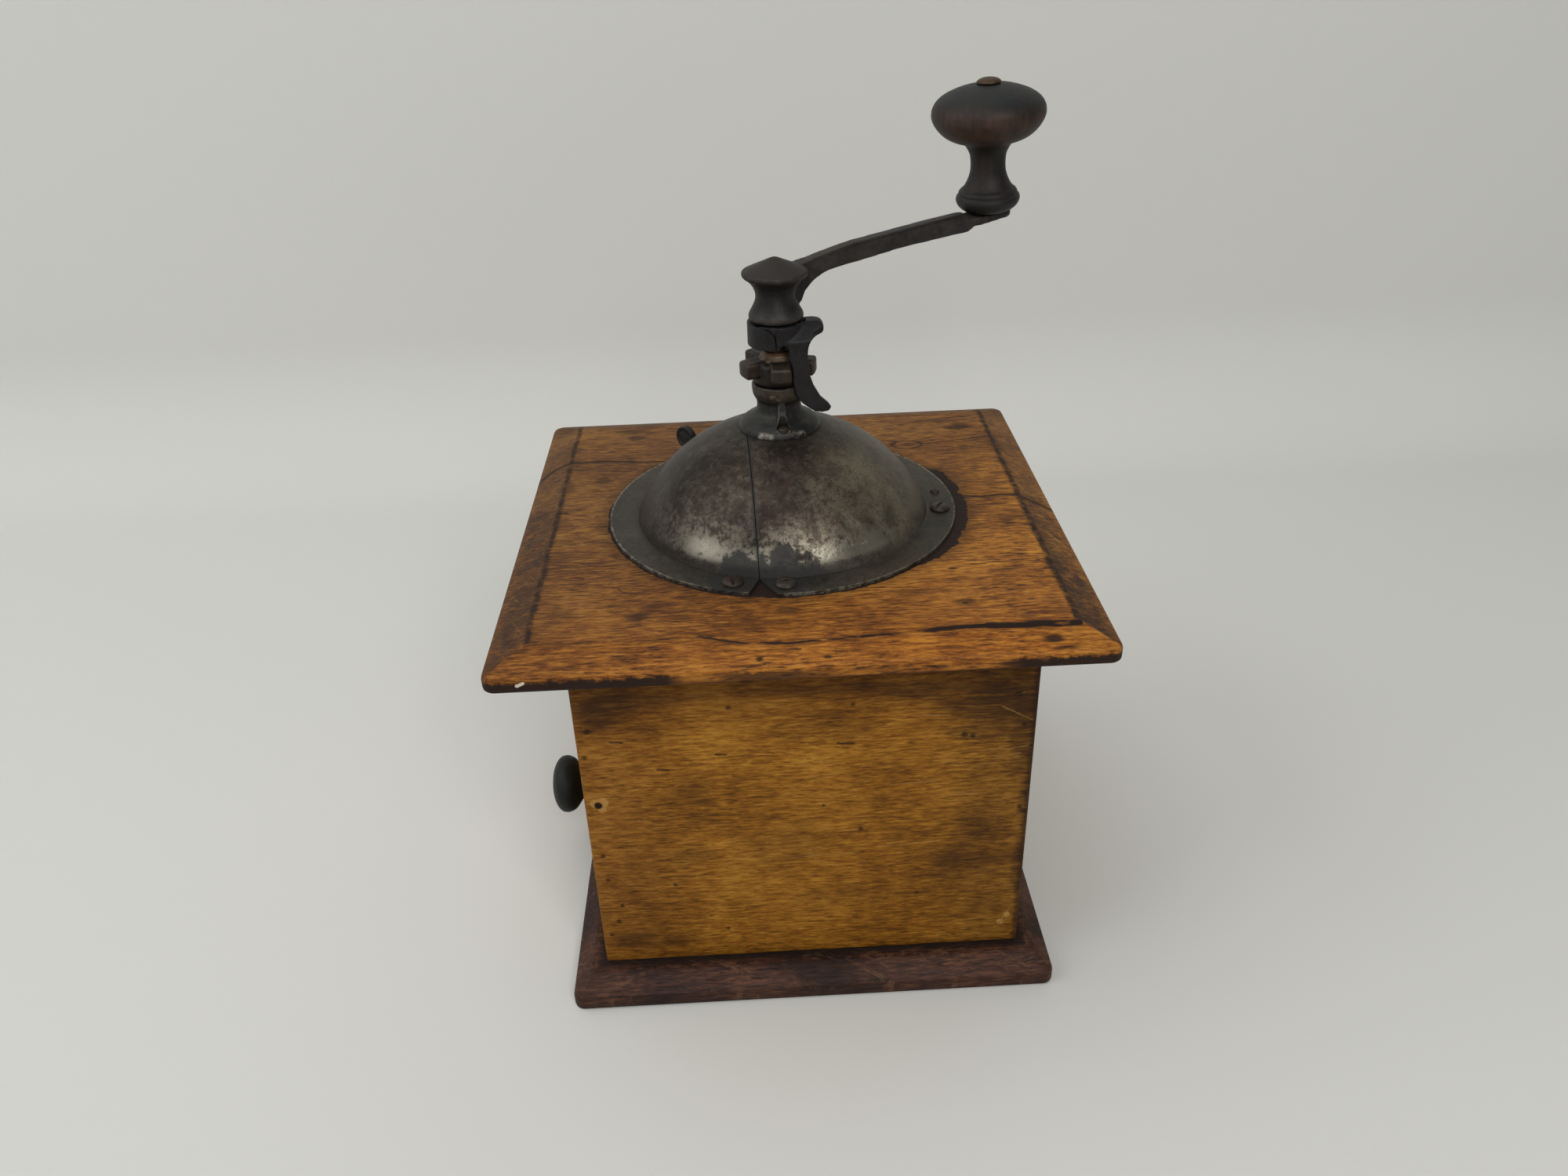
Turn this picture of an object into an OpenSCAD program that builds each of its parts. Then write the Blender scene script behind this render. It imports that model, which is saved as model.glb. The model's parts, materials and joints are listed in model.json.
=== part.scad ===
// Old box coffee grinder: wooden case with a drawer, iron dome with a turning
// shutter, vertical spindle with burrs, and a crank with a turned knob.
// Millimetres, +Z up. The origin is the middle of the case on the underside
// of the base board. The drawer opens towards -X.

/* [Case] */
// Outside width and depth of the case walls
case_w = 120; // [100:1:140]
// Thickness of the case walls
wall_t = 8.5; // [6:0.5:12]
// Top of the case walls
wall_top = 116.5; // [95:0.5:140]
// Half width of the base board
base_half = 69.5; // [62:0.5:80]
// Thickness of the base board
base_t = 9; // [7:0.5:12]

/* [Deck] */
// Thickness of the deck board
deck_t = 7.2; // [6:0.2:10]
// Height of the deck's upright edge below its bevel
deck_edge = 4.2; // [3:0.1:6]
// Width of the deck's bevel
deck_bevel = 9.7; // [6:0.1:12]

/* [Dome] */
// Radius of the dome's sphere, outside
dome_r = 45.1; // [40:0.1:50]
// Radius of the dome's flange
flange_r = 49.2; // [46:0.1:54]
// Thickness of the sheet
sheet = 0.8; // [0.6:0.1:1.2]
// Distance of the seam plane from the spindle axis
seam_x = 9.4; // [6:0.1:12]

/* [Spindle and crank] */
// Distance of the spindle axis from the middle of the case
axis_x = -2.8; // [-6:0.1:6]
// Radius of the spindle
spin_r = 3.3; // [2.8:0.1:4]
// Distance from the spindle to the knob's axis
throw = 76.5; // [65:0.5:90]
// Direction of the crank at rest, seen from above
crank_az = 34; // [0:1:90]

/* [Drawer] */
// Top of the drawer's front board
drawer_top = 45.5; // [38:0.5:55]
// Height of the drawer knob above the table
knob_z = 27.2; // [22:0.2:35]

/* [Hidden] */

hw = case_w / 2;
deck_z = wall_top;
deck_top = deck_z + deck_t;
dome_zc = 106;
fl_top = deck_top + sheet;
deck_x0 = -77.3;
deck_x1 = 75.3;
deck_y0 = -75.8;
deck_y1 = 75.2;
run = 0.06;
e = 0.02;
inner = hw - wall_t;

c_case = [0.62, 0.42, 0.16];
c_deck = [0.58, 0.30, 0.12];
c_base = [0.30, 0.15, 0.09];
c_iron = [0.20, 0.19, 0.18];
c_dome = [0.30, 0.27, 0.25];
c_dark = [0.09, 0.06, 0.05];
c_pale = [0.66, 0.50, 0.30];

// positions of the dome's screws: [radius, direction, turn of the slot]
dome_screw_pos = [[44.8, -109, 25], [44.5, -91.4, 85], [44.9, -7.4, 60], [44.6, 95, 10], [44.6, 112, 140]];
deck_nail_near = [-41, -4, 40.4];
deck_nail_far = [-48, 57.6];
housing_az = [45, 135, 225, 315];
rivet_az = [-85.5, 94.5];
seam_turn = 2.46;
lean = -3.6;

module at_axis() translate([axis_x, 0, 0]) children();

// a bar of profile p in the XZ plane, from y0 to y1
module along_y(y0, y1) translate([0, y1, 0]) rotate([90, 0, 0]) linear_extrude(height = y1 - y0) children();

// a rod along Y
module rod_y(x, z, r, y0, y1) translate([x, y1, z]) rotate([90, 0, 0]) cylinder(r = r, h = y1 - y0, $fn = 32);

module rounded_plan(x0, x1, y0, y1, r) {
  translate([x0 + r, y0]) square([x1 - x0 - 2 * r, y1 - y0]);
  translate([x0, y0 + r]) square([x1 - x0, y1 - y0 - 2 * r]);
  for (x = [x0 + r, x1 - r]) for (y = [y0 + r, y1 - r]) translate([x, y]) circle(r = r, $fn = 32);
}

// ---------------------------------------------------------------- the case

module base_board() color(c_base) difference() {
  intersection() {
    along_y(-base_half, base_half)
      polygon([[-base_half, 0], [base_half, 0], [base_half, 5], [base_half - 5, base_t], [-base_half + 5, base_t], [-base_half, 5]]);
    rotate([0, 0, 90]) along_y(-base_half, base_half)
      polygon([[-base_half, 0], [base_half, 0], [base_half, 5], [base_half - 5, base_t], [-base_half + 5, base_t], [-base_half, 5]]);
    linear_extrude(height = base_t) rounded_plan(-base_half, base_half, -base_half, base_half, 3);
  }
  base_nail_set();
  for (p = base_nail_xy) translate([p[0], p[1], -1]) cylinder(r = 2, h = 2, $fn = 24);
}

base_nail_xy = [[-42, -55.75], [42, -55.75], [-42, 55.75], [42, 55.75], [55.75, -25], [55.75, 25]];

module base_nail_set() for (p = base_nail_xy) translate([p[0], p[1], 0]) {
  translate([0, 0, 0.6]) cylinder(r = 2, h = 0.8, $fn = 24);
  translate([0, 0, 0.6]) cylinder(r = 0.9, h = 27, $fn = 16);
}

module base_nails() color(c_iron) base_nail_set();

module near_nail_shanks() for (x = deck_nail_near) translate([x, -55.75, 98]) cylinder(r = 0.8, h = deck_top - 98.2, $fn = 16);
module far_nail_shanks() for (x = deck_nail_far) translate([x, 55.75, 98]) cylinder(r = 0.8, h = deck_top - 98.2, $fn = 16);
module rail_nail_shanks() translate([-56, 24, 98]) cylinder(r = 0.8, h = deck_top - 98.2, $fn = 16);
module nail_heads() {
  for (x = deck_nail_near) translate([x, -55.75, deck_top - 0.9]) cylinder(r = 1.25, h = 0.7, $fn = 20);
  for (x = deck_nail_far) translate([x, 55.75, deck_top - 0.9]) cylinder(r = 1.25, h = 0.7, $fn = 20);
  translate([-56, 24, deck_top - 0.9]) cylinder(r = 1.25, h = 0.7, $fn = 20);
}

module deck_nails() color(c_iron) {
  near_nail_shanks();
  far_nail_shanks();
  rail_nail_shanks();
  nail_heads();
}

module side_panel_near() color(c_case) difference() {
  translate([-hw, -hw, base_t]) cube([case_w, wall_t, wall_top - base_t]);
  near_nail_shanks();
  base_nail_set();
}

module side_panel_far() color(c_case) difference() {
  translate([-hw, hw - wall_t, base_t]) cube([case_w, wall_t, wall_top - base_t]);
  far_nail_shanks();
  base_nail_set();
}

module end_panel() color(c_case) difference() {
  translate([hw - wall_t, -inner, base_t]) cube([wall_t, 2 * inner, wall_top - base_t]);
  base_nail_set();
}

module front_rail() color(c_case) difference() {
  translate([-hw - 1, -inner, drawer_top + 0.4]) cube([wall_t, 2 * inner, wall_top - drawer_top - 0.4]);
  rail_nail_shanks();
}

// ---------------------------------------------------------------- the deck

module deck() color(c_deck) difference() {
  intersection() {
    along_y(deck_y0, deck_y1)
      polygon([[deck_x0, deck_z], [deck_x1, deck_z], [deck_x1, deck_z + deck_edge], [deck_x1 - deck_bevel, deck_top],
               [deck_x0 + deck_bevel, deck_top], [deck_x0, deck_z + deck_edge]]);
    rotate([0, 0, 90]) along_y(-deck_x1, -deck_x0)
      polygon([[deck_y0, deck_z], [deck_y1, deck_z], [deck_y1, deck_z + deck_edge], [deck_y1 - deck_bevel, deck_top],
               [deck_y0 + deck_bevel, deck_top], [deck_y0, deck_z + deck_edge]]);
    translate([0, 0, deck_z]) linear_extrude(height = deck_t) rounded_plan(deck_x0, deck_x1, deck_y0, deck_y1, 3);
  }
  at_axis() translate([0, 0, deck_z - 1]) cylinder(r = 30, h = deck_t + 2, $fn = 64);
  at_axis() dome_screw_shanks();
  at_axis() dome_pin_shank();
  at_axis() housing_screw_shanks();
  near_nail_shanks();
  far_nail_shanks();
  rail_nail_shanks();
  nail_heads();
  for (x = deck_nail_near) translate([x, -55.75, deck_top - 0.3]) cylinder(r = 1.25, h = 1, $fn = 20);
  for (x = deck_nail_far) translate([x, 55.75, deck_top - 0.3]) cylinder(r = 1.25, h = 1, $fn = 20);
  translate([-56, 24, deck_top - 0.3]) cylinder(r = 1.25, h = 1, $fn = 20);
}

// ------------------------------------------------------- burrs under the deck

module housing_screw_shanks() for (a = housing_az) rotate([0, 0, a]) translate([33.8, 0, deck_z + 0.6])
  cylinder(r = 1.3, h = deck_t + 3, $fn = 20);

module burr_housing() color(c_iron) at_axis() difference() {
  union() {
    rotate_extrude($fn = 64) polygon([[27, deck_top + 2.5], [37.5, deck_top + 2.5], [37.5, deck_top], [29.6, deck_top], [29.6, 115],
                                      [24, 100], [24, 72], [21, 72], [21, 98], [20, 98], [20, 101], [26.6, 116]]);
    for (s = [-1, 1]) translate([-5.5, s > 0 ? 22.5 : -32, 72]) cube([11, 9.5, 6]);
  }
  housing_screw_shanks();
  for (s = [-1, 1]) translate([0, s * 27.5, 70]) cylinder(r = 1.6, h = 7, $fn = 20);
  cylinder(r = 21, h = 98, $fn = 64);
}

module screw_head(r, h, turn) difference() {
  rotate_extrude($fn = 32) polygon([[0, 0], [r, 0], [r * 0.96, h * 0.4], [r * 0.68, h * 0.82], [0, h]]);
  rotate([0, 0, turn]) translate([-r - 1, -0.38, h * 0.5]) cube([2 * r + 2, 0.76, h]);
}

module housing_screws() color(c_iron) at_axis() {
  housing_screw_low();
  for (a = housing_az) rotate([0, 0, a]) translate([33.8, 0, deck_top + 2.5]) screw_head(2.6, 1.4, a + 20);
}

module housing_screw_low() for (a = housing_az) rotate([0, 0, a]) translate([33.8, 0, deck_z + 0.6])
  cylinder(r = 1.3, h = deck_t + 1.9, $fn = 20);

module ring_burr() color(c_iron) at_axis() difference() {
  translate([0, 0, 74]) cylinder(r = 21, h = 24, $fn = 64);
  translate([0, 0, 73.9]) cylinder(r1 = 18.4, r2 = 16.2, h = 24.2, $fn = 64);
  for (i = [0:17]) rotate([0, 0, i * 20]) translate([15.5, 0, 73]) rotate([0, 0, 45]) translate([0, 0, 0]) cube([2.9, 2.9, 26]);
}

module grinding_cone() color(c_iron) at_axis() difference() {
  union() {
    translate([0, 0, 73.4]) cylinder(r = 17.2, h = 1.6, $fn = 64);
    translate([0, 0, 75]) cylinder(r1 = 17.2, r2 = 15.4, h = 7, $fn = 64);
    translate([0, 0, 82]) cylinder(r1 = 15.4, r2 = 7.5, h = 20, $fn = 64);
  }
  translate([0, 0, 73]) cylinder(r = spin_r + e, h = 30, $fn = 32);
  // grooves: fine teeth below, deep flutes above
  for (i = [0:19]) rotate([0, 0, i * 18]) translate([17.9, 0, 73]) rotate([0, -7, 0]) rotate([0, 0, 45]) cube([1.8, 1.8, 22], center = true);
  for (i = [0:4]) rotate([0, 0, i * 72]) translate([13.6, 0, 92]) rotate([0, -22, 0]) rotate([0, 0, 45]) cube([4.4, 4.4, 26], center = true);
}

module bridge() color(c_iron) at_axis() difference() {
  union() {
    translate([-5.5, -32, 68]) cube([11, 64, 4]);
    translate([0, 0, 63.5]) cylinder(r = 7.5, h = 8.5, $fn = 48);
  }
  translate([0, 0, 60]) cylinder(r = spin_r + run, h = 14, $fn = 48);
  for (s = [-1, 1]) translate([0, s * 27.5, 66]) cylinder(r = 1.6, h = 8, $fn = 20);
}

module bridge_screws() color(c_iron) at_axis() for (s = [-1, 1]) translate([0, s * 27.5, 0]) {
  translate([0, 0, 68]) cylinder(r = 1.6, h = 8.8, $fn = 20);
  translate([0, 0, 68]) mirror([0, 0, 1]) screw_head(3, 1.8, 30);
}

// ---------------------------------------------------------------- the dome

module dome_screw_shanks() for (p = dome_screw_pos) rotate([0, 0, p[1]]) translate([p[0], 0, deck_z + 0.7])
  cylinder(r = 1.5, h = deck_t + 0.9, $fn = 20);

module dome_pin_shank() rotate([0, 0, 6.5]) translate([45, 0, deck_z + 2]) cylinder(r = 0.8, h = deck_t, $fn = 16);

module dome_screws() color(c_iron) at_axis() for (p = dome_screw_pos) rotate([0, 0, p[1]]) translate([p[0], 0, 0]) {
  translate([0, 0, deck_z + 0.7]) cylinder(r = 1.5, h = deck_t + 0.3, $fn = 20);
  translate([0, 0, fl_top]) screw_head(2.85, 1.5, p[2]);
}

module dome_pin() color(c_iron) at_axis() rotate([0, 0, 6.5]) translate([45, 0, 0]) {
  translate([0, 0, deck_z + 2]) cylinder(r = 0.8, h = deck_t - 1, $fn = 16);
  translate([0, 0, fl_top]) rotate_extrude($fn = 20) polygon([[0, 0], [1.4, 0], [1.2, 0.5], [0.6, 0.8], [0, 0.9]]);
}

module dome_shell() difference() {
  rotate_extrude($fn = 96) union() {
    difference() {
      translate([0, dome_zc]) circle(r = dome_r, $fn = 96);
      translate([0, dome_zc]) circle(r = dome_r - sheet, $fn = 96);
      translate([-60, 40]) square([60, 120]);
      translate([-1, 40]) square([60, deck_top - 40]);
      translate([-1, 130]) square([1 + 7.6, 40]);
    }
    translate([40.9, deck_top]) square([flange_r - 40.9, sheet]);
  }
  // filling opening at the back, closed by the shutter
  rotate([0, 0, 49]) rotate_extrude(angle = 95, $fn = 96) polygon([[29.5, 118], [37.5, 118], [37.5, 160], [29.5, 160]]);
  dome_screw_shanks();
  dome_pin_shank();
  rivet_shanks(1);
}

// the seam is turned a little from square
module at_seam() translate([-seam_x, 0, 0]) rotate([0, 0, seam_turn]) children();

// notch where the two halves meet on the flange
module seam_notch() at_seam() for (s = [-1, 1]) translate([0, 0, deck_top - 1])
  linear_extrude(height = 3) polygon([[-4.6, s * 52], [4.6, s * 52], [3.9, s * 49.2], [3.2, s * 47.9], [0.25, s * 41.4], [-0.25, s * 41.4], [-3.2, s * 47.9], [-3.9, s * 49.2]]);

module dome_right() color(c_dome) at_axis() difference() {
  dome_shell();
  at_seam() translate([0.1 - 80, -80, 100]) cube([80, 160, 80]);
  seam_notch();
}

module dome_left() color(c_dome) at_axis() difference() {
  dome_shell();
  at_seam() translate([-0.1, -80, 100]) cube([80, 160, 80]);
  seam_notch();
}

module rivet_shanks(r) for (a = rivet_az) rotate([0, 0, a]) translate([9.4, 0, 149.45]) cylinder(r = r, h = 5, $fn = 16);

module neck_casting() color(c_iron) at_axis() difference() {
  union() {
    difference() {
      union() {
        rotate_extrude($fn = 64) polygon([[0, 148.6], [11.2, 148.6], [11.35, 149.6], [11.3, 150.4], [10.95, 151.2], [10.2, 152.0], [9.2, 152.7], [8.1, 153.2],
                                          [7.1, 153.9], [6.4, 154.7], [6.05, 155.7], [6.0, 157.4], [6.2, 158.0], [6.7, 158.8], [7.05, 159.7], [7.2, 160.7], [7.25, 162.1], [7.0, 162.6], [0, 162.6]]);
        rotate([0, 0, -85.5]) intersection() {
          along_y(-2.4, 2.4) polygon([[4, 150.8], [10.9, 150.8], [10.4, 152.1], [9.2, 153.4], [8.0, 154.8], [7.2, 156.4], [6.75, 158.3], [4, 158.3]]);
          rotate([90, 0, 90]) linear_extrude(height = 12) polygon([[-1.8, 150], [1.8, 150], [1.7, 152.4], [0.8, 158.6], [-0.8, 158.6], [-1.7, 152.4]]);
        }
      }
      translate([0, 0, dome_zc]) sphere(r = dome_r, $fn = 96);
    }
    translate([0, 0, 147]) cylinder(r = 7.6, h = 5, $fn = 48);
    translate([0, 0, 147]) cylinder(r = 9.2, h = 0.9, $fn = 48);
  }
  translate([0, 0, 140]) cylinder(r = spin_r + run, h = 30, $fn = 48);
  rivet_shanks(1);
  for (a = rivet_az) rotate([0, 0, a]) translate([9.4, 0, 151.8]) cylinder(r = 1.65, h = 4, $fn = 24);
}

module neck_rivets() color(c_iron) at_axis() for (a = rivet_az) rotate([0, 0, a]) translate([9.4, 0, 0]) {
  translate([0, 0, 149.45]) cylinder(r = 1, h = 2.6, $fn = 16);
  translate([0, 0, 151.8]) rotate_extrude($fn = 24) polygon([[0, 0], [1.6, 0], [1.5, 0.55], [1.0, 0.95], [0, 1.15]]);
}

module shutter() color(c_dome) at_axis() difference() {
  rotate_extrude($fn = 96) difference() {
    translate([0, dome_zc]) circle(r = 43.9, $fn = 96);
    translate([0, dome_zc]) circle(r = 43.1, $fn = 96);
    translate([-60, 40]) square([67.67, 120]);
    translate([-1, 40]) square([60, 88]);
  }
  rotate([0, 0, 149]) rotate_extrude(angle = 256, $fn = 96) polygon([[12, 120], [50, 120], [50, 160], [12, 160]]);
  at_tab() translate([-1.5, -0.6, 40]) cube([3, 1.2, 6]);
}

module at_tab() rotate([0, 0, 137.4]) translate([0, 0, dome_zc]) rotate([0, 50.5, 0]) children();

// a round tab standing on its edge, riveted through the shutter
module shutter_tab() color(c_dark) at_axis() at_tab() {
  difference() {
    translate([0, 0.95, 48.1]) rotate([90, 0, 0]) cylinder(r = 3.4, h = 1.9, $fn = 48);
    for (y = [1.25, -0.65]) translate([0, y, 48.1]) rotate([90, 0, 0]) cylinder(r = 2.6, h = 0.6, $fn = 48);
  }
  translate([-1.5, -0.6, 42.5]) cube([3, 1.2, 3.4]);
  intersection() {
    sphere(r = 43.06, $fn = 96);
    translate([-3, -2.2, 42]) cube([6, 4.4, 2]);
  }
}

// ---------------------------------------------------------------- the drawer

dr_half = inner - 0.7;
dr_x1 = 46;
dr_z0 = base_t + 0.35;

module drawer_pin_set() {
  for (y = [-1, 1]) for (z = [18, 34]) translate([-61 + 8.5, y * (dr_half - 2.5), z]) rotate([0, -90, 0]) {
    translate([0, 0, -10]) cylinder(r = 0.7, h = 17, $fn = 16);
  }
}

module drawer_front() color(c_case) difference() {
  translate([-61, -inner + 0.35, dr_z0]) cube([8, 2 * inner - 0.7, drawer_top - dr_z0]);
  drawer_pin_set();
  translate([-70, 0, knob_z]) rotate([0, 90, 0]) cylinder(r = 1.6, h = 30, $fn = 20);
}

module drawer_side_near() color(c_pale) difference() {
  translate([-53, -dr_half, dr_z0]) cube([dr_x1 + 53, 5, 32]);
  drawer_pin_set();
}

module drawer_side_far() color(c_pale) difference() {
  translate([-53, dr_half - 5, dr_z0]) cube([dr_x1 + 53, 5, 32]);
  drawer_pin_set();
}

module drawer_back() color(c_pale) translate([dr_x1 - 5, -dr_half + 5, dr_z0]) cube([5, 2 * dr_half - 10, 32]);

module drawer_bottom() color(c_pale) translate([-53, -dr_half + 5, dr_z0 + 1.5]) cube([dr_x1 + 48, 2 * dr_half - 10, 3]);

module drawer_pins() color(c_iron) drawer_pin_set();

module drawer_knob() color(c_dark) translate([-61, 0, knob_z]) rotate([0, -90, 0]) difference() {
  rotate_extrude($fn = 48) polygon([[0, 0], [4.6, 0], [4.7, 1.0], [3.9, 2.0], [3.5, 4.2], [3.9, 7.0], [4.6, 9.6], [6.6, 10.9], [8.3, 12.3], [9.1, 13.9], [9.25, 15.1],
                                    [8.8, 16.6], [7.4, 17.9], [5.2, 18.8], [2.6, 19.2], [0, 19.3]]);
  translate([0, 0, -1]) cylinder(r = 1.6, h = 11, $fn = 20);
}

module drawer_knob_screw() color(c_iron) translate([-53, 0, knob_z]) rotate([0, -90, 0]) {
  cylinder(r = 1.6, h = 17.8, $fn = 20);
  mirror([0, 0, 1]) screw_head(3.1, 1.7, 70);
}

// ------------------------------------------------------- spindle and crank

module spindle() color(c_iron) at_axis() translate([0, 0, 62.6]) cylinder(r = spin_r, h = 190.5 - 62.6, $fn = 48);

// the five lobes: [direction, reach]
nut_lobes = [[-86.5, 10.9], [-14.5, 10.5], [57.5, 10.7], [129.5, 10.8], [204, 10.5]];

module adjusting_nut() color(c_iron) at_axis() difference() {
  union() {
    rotate_extrude($fn = 48) polygon([[0, 162.9], [6.5, 162.9], [6.9, 163.4], [6.9, 168.0], [6.4, 168.7], [5.1, 169.15], [4.85, 169.25], [4.75, 169.7], [3.95, 170.6], [3.9, 171.6], [0, 171.6]]);
    for (l = nut_lobes) rotate([0, 0, l[0]]) intersection() {
      rotate_extrude($fn = 48) polygon([[0, 165.15], [l[1] - 0.5, 165.15], [l[1], 165.8], [l[1], 168.8], [l[1] - 0.4, 169.4], [l[1] - 1.4, 169.55], [0, 169.55]]);
      rotate([90, 0, 90]) linear_extrude(height = 12) polygon([[-2.1, 165.15], [2.1, 165.15], [2.7, 165.9], [2.7, 168.9], [2.2, 169.55], [-2.2, 169.55], [-2.7, 168.9], [-2.7, 165.9]]);
    }
  }
  translate([0, 0, 160]) cylinder(r = spin_r + e, h = 14, $fn = 48);
}

hinge_x = 7.6;
hinge_z = 176.4;

// end of the collar's cheek, seen from the side: rounded, open to the right
cheek_cut = [[-5.1, 181], [-5.1, 179.5], [-3.7, 179.15], [-2.4, 178.6], [-1.4, 177.8], [-0.85, 176.95], [-0.65, 176.0], [-0.6, 175.0], [-0.7, 174.3], [-1.1, 173.7],
             [-1.7, 173.4], [-1.7, 172], [12, 172], [12, 181]];

module collar() color(c_iron) at_axis() difference() {
  union() {
    difference() {
      translate([0, 0, 173.4]) cylinder(r = 7.8, h = 6.1, $fn = 96);
      along_y(-10, 2.3) polygon(cheek_cut);
      // pocket behind the cheek for the end of the latch
      intersection() {
        translate([0, 0, 172]) cylinder(r = 7.3, h = 9, $fn = 96);
        union() {
          translate([-2.8, -10, 172]) cube([12, 12.3, 9]);
          translate([-5.6, -10, 172]) cube([3, 6.8, 9]);
        }
      }
    }
    translate([0, 0, 173.4]) cylinder(r = 4.2, h = 6.1, $fn = 48);
    translate([3.2, -1.6, 175.2]) cube([hinge_x - 3.2, 2.2, 1.8]);
    rod_y(hinge_x, hinge_z, 1.3, -1.6, 0.6);
  }
  translate([0, 0, 170]) cylinder(r = spin_r + e, h = 12, $fn = 48);
  rod_y(hinge_x, hinge_z, 0.7, -2, 1);
}

module latch_pin() color(c_iron) at_axis() rod_y(hinge_x, hinge_z, 0.7, -3.3, 1.95);

// front of the latch seen from the side: wall, arch, tongue and flared tail
latch_front = [[0.12, 179.5], [-0.2, 178.6], [-0.42, 177.5], [-0.5, 176.4], [-0.42, 175.3], [-0.15, 174.2], [0.05, 173.5], [0.4, 173.55], [0.75, 174.25], [1.6, 174.6], [2.5, 174.0],
               [2.96, 172.7], [2.8, 171.35], [3.13, 169.9], [3.6, 168.8], [3.8, 165.1], [4.1, 162.7], [4.95, 160.3], [6.0, 158.7], [7.7, 157.2], [9.5, 156.0], [11.4, 155.65],
               [13.2, 155.9], [13.9, 156.9], [13.2, 158.0], [11.0, 160.1], [9.25, 163.3], [8.35, 166.0], [8.05, 169.2], [7.85, 172.1], [8.0, 173.4], [8.4, 174.8], [9.2, 176.1], [9.8, 176.5], [9.8, 179.5]];

module latch() color(c_iron) at_axis() difference() {
  union() {
    // thinner end that goes behind the collar's cheek
    intersection() {
      translate([0, 0, 170]) cylinder(r = 7.0, h = 12, $fn = 96);
      along_y(-9, -4.9) polygon([[-5.0, 179.5], [-5.0, 178.4], [-3.3, 177.6], [-2.3, 176.2], [-2.1, 174.95], [-1.5, 174.5], [-0.65, 173.9], [0.3, 173.65], [1.2, 174.7], [3.4, 174.8], [3.4, 179.5]]);
    }
    // band round the collar
    intersection() {
      translate([0, 0, 170]) cylinder(r = 7.5, h = 12, $fn = 96);
      along_y(-9, -2.2) polygon([[0.12, 179.5], [-0.2, 178.6], [-0.42, 177.5], [-0.5, 176.4], [-0.42, 175.3], [-0.15, 174.2], [0.05, 173.5], [0.4, 173.55], [0.75, 174.25], [1.6, 174.6], [2.5, 174.0],
                                 [2.96, 172.7], [7.2, 172.7], [7.2, 179.5]]);
    }
    difference() {
      union() {
        // wall and tongue
        intersection() {
          along_y(-9, -5.3) polygon(latch_front);
          translate([0, 0, 150]) linear_extrude(height = 32) polygon([[0.5, -7.32], [4, -7.3], [8.3, -7.1], [11, -6.95], [14.2, -6.6], [14.2, -5.3], [0.5, -5.3]]);
        }
        // hinge block and finger piece
        intersection() {
          along_y(-5.4, 2) polygon([[2.2, 179.5], [2.2, 174.8], [2.9, 174.2], [3.1, 172.7], [3.1, 171.5], [7.95, 171.5], [8.07, 172.8], [8.45, 174.2], [9.3, 175.55], [10.3, 176.3], [11.7, 176.6],
                                    [12.3, 176.95], [12.42, 178.1], [12.2, 178.9], [11.6, 179.45], [10.8, 179.65], [7.8, 179.65], [7.4, 179.5]]);
          translate([0, 0, 150]) linear_extrude(height = 32) polygon([[2.2, -5.4], [9.2, -5.4], [10.7, -4.7], [12.0, -3.9], [12.45, -3.0], [12.45, -0.6], [11.6, 0.9], [9.9, 2.0], [2.2, 2.0]]);
        }
      }
      // the front slopes back to the finger piece
      rotate([90, 0, 90]) linear_extrude(height = 15) polygon([[-10, 175.0], [-7.6, 175.0], [-6.9, 175.9], [-5.6, 177.2], [-3.6, 179.0], [-3.0, 179.4], [-2.6, 181], [-10, 181]]);
    }
  }
  translate([0, 0, 160]) cylinder(r = 5.2, h = 22, $fn = 64);
  translate([0, 0, 160]) cylinder(r = 7.15, h = 10.2, $fn = 64);
  intersection() {
    translate([0, 0, 170]) cylinder(r = 6.3, h = 12, $fn = 64);
    translate([0, -3.3, 170]) cube([8, 6, 12]);
  }
  // room for the collar's ear
  translate([2, -1.9, 174.9]) cube([5.6, 2.8, 7]);
  rod_y(hinge_x, hinge_z, 1.6, -1.9, 0.9);
  rod_y(hinge_x, hinge_z, 0.7 + 0.05, -3.4, 3);
  // room for the neck's bead
  translate([0, 0, 150]) cylinder(r = 7.7, h = 12.7, $fn = 64);
}

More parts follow.
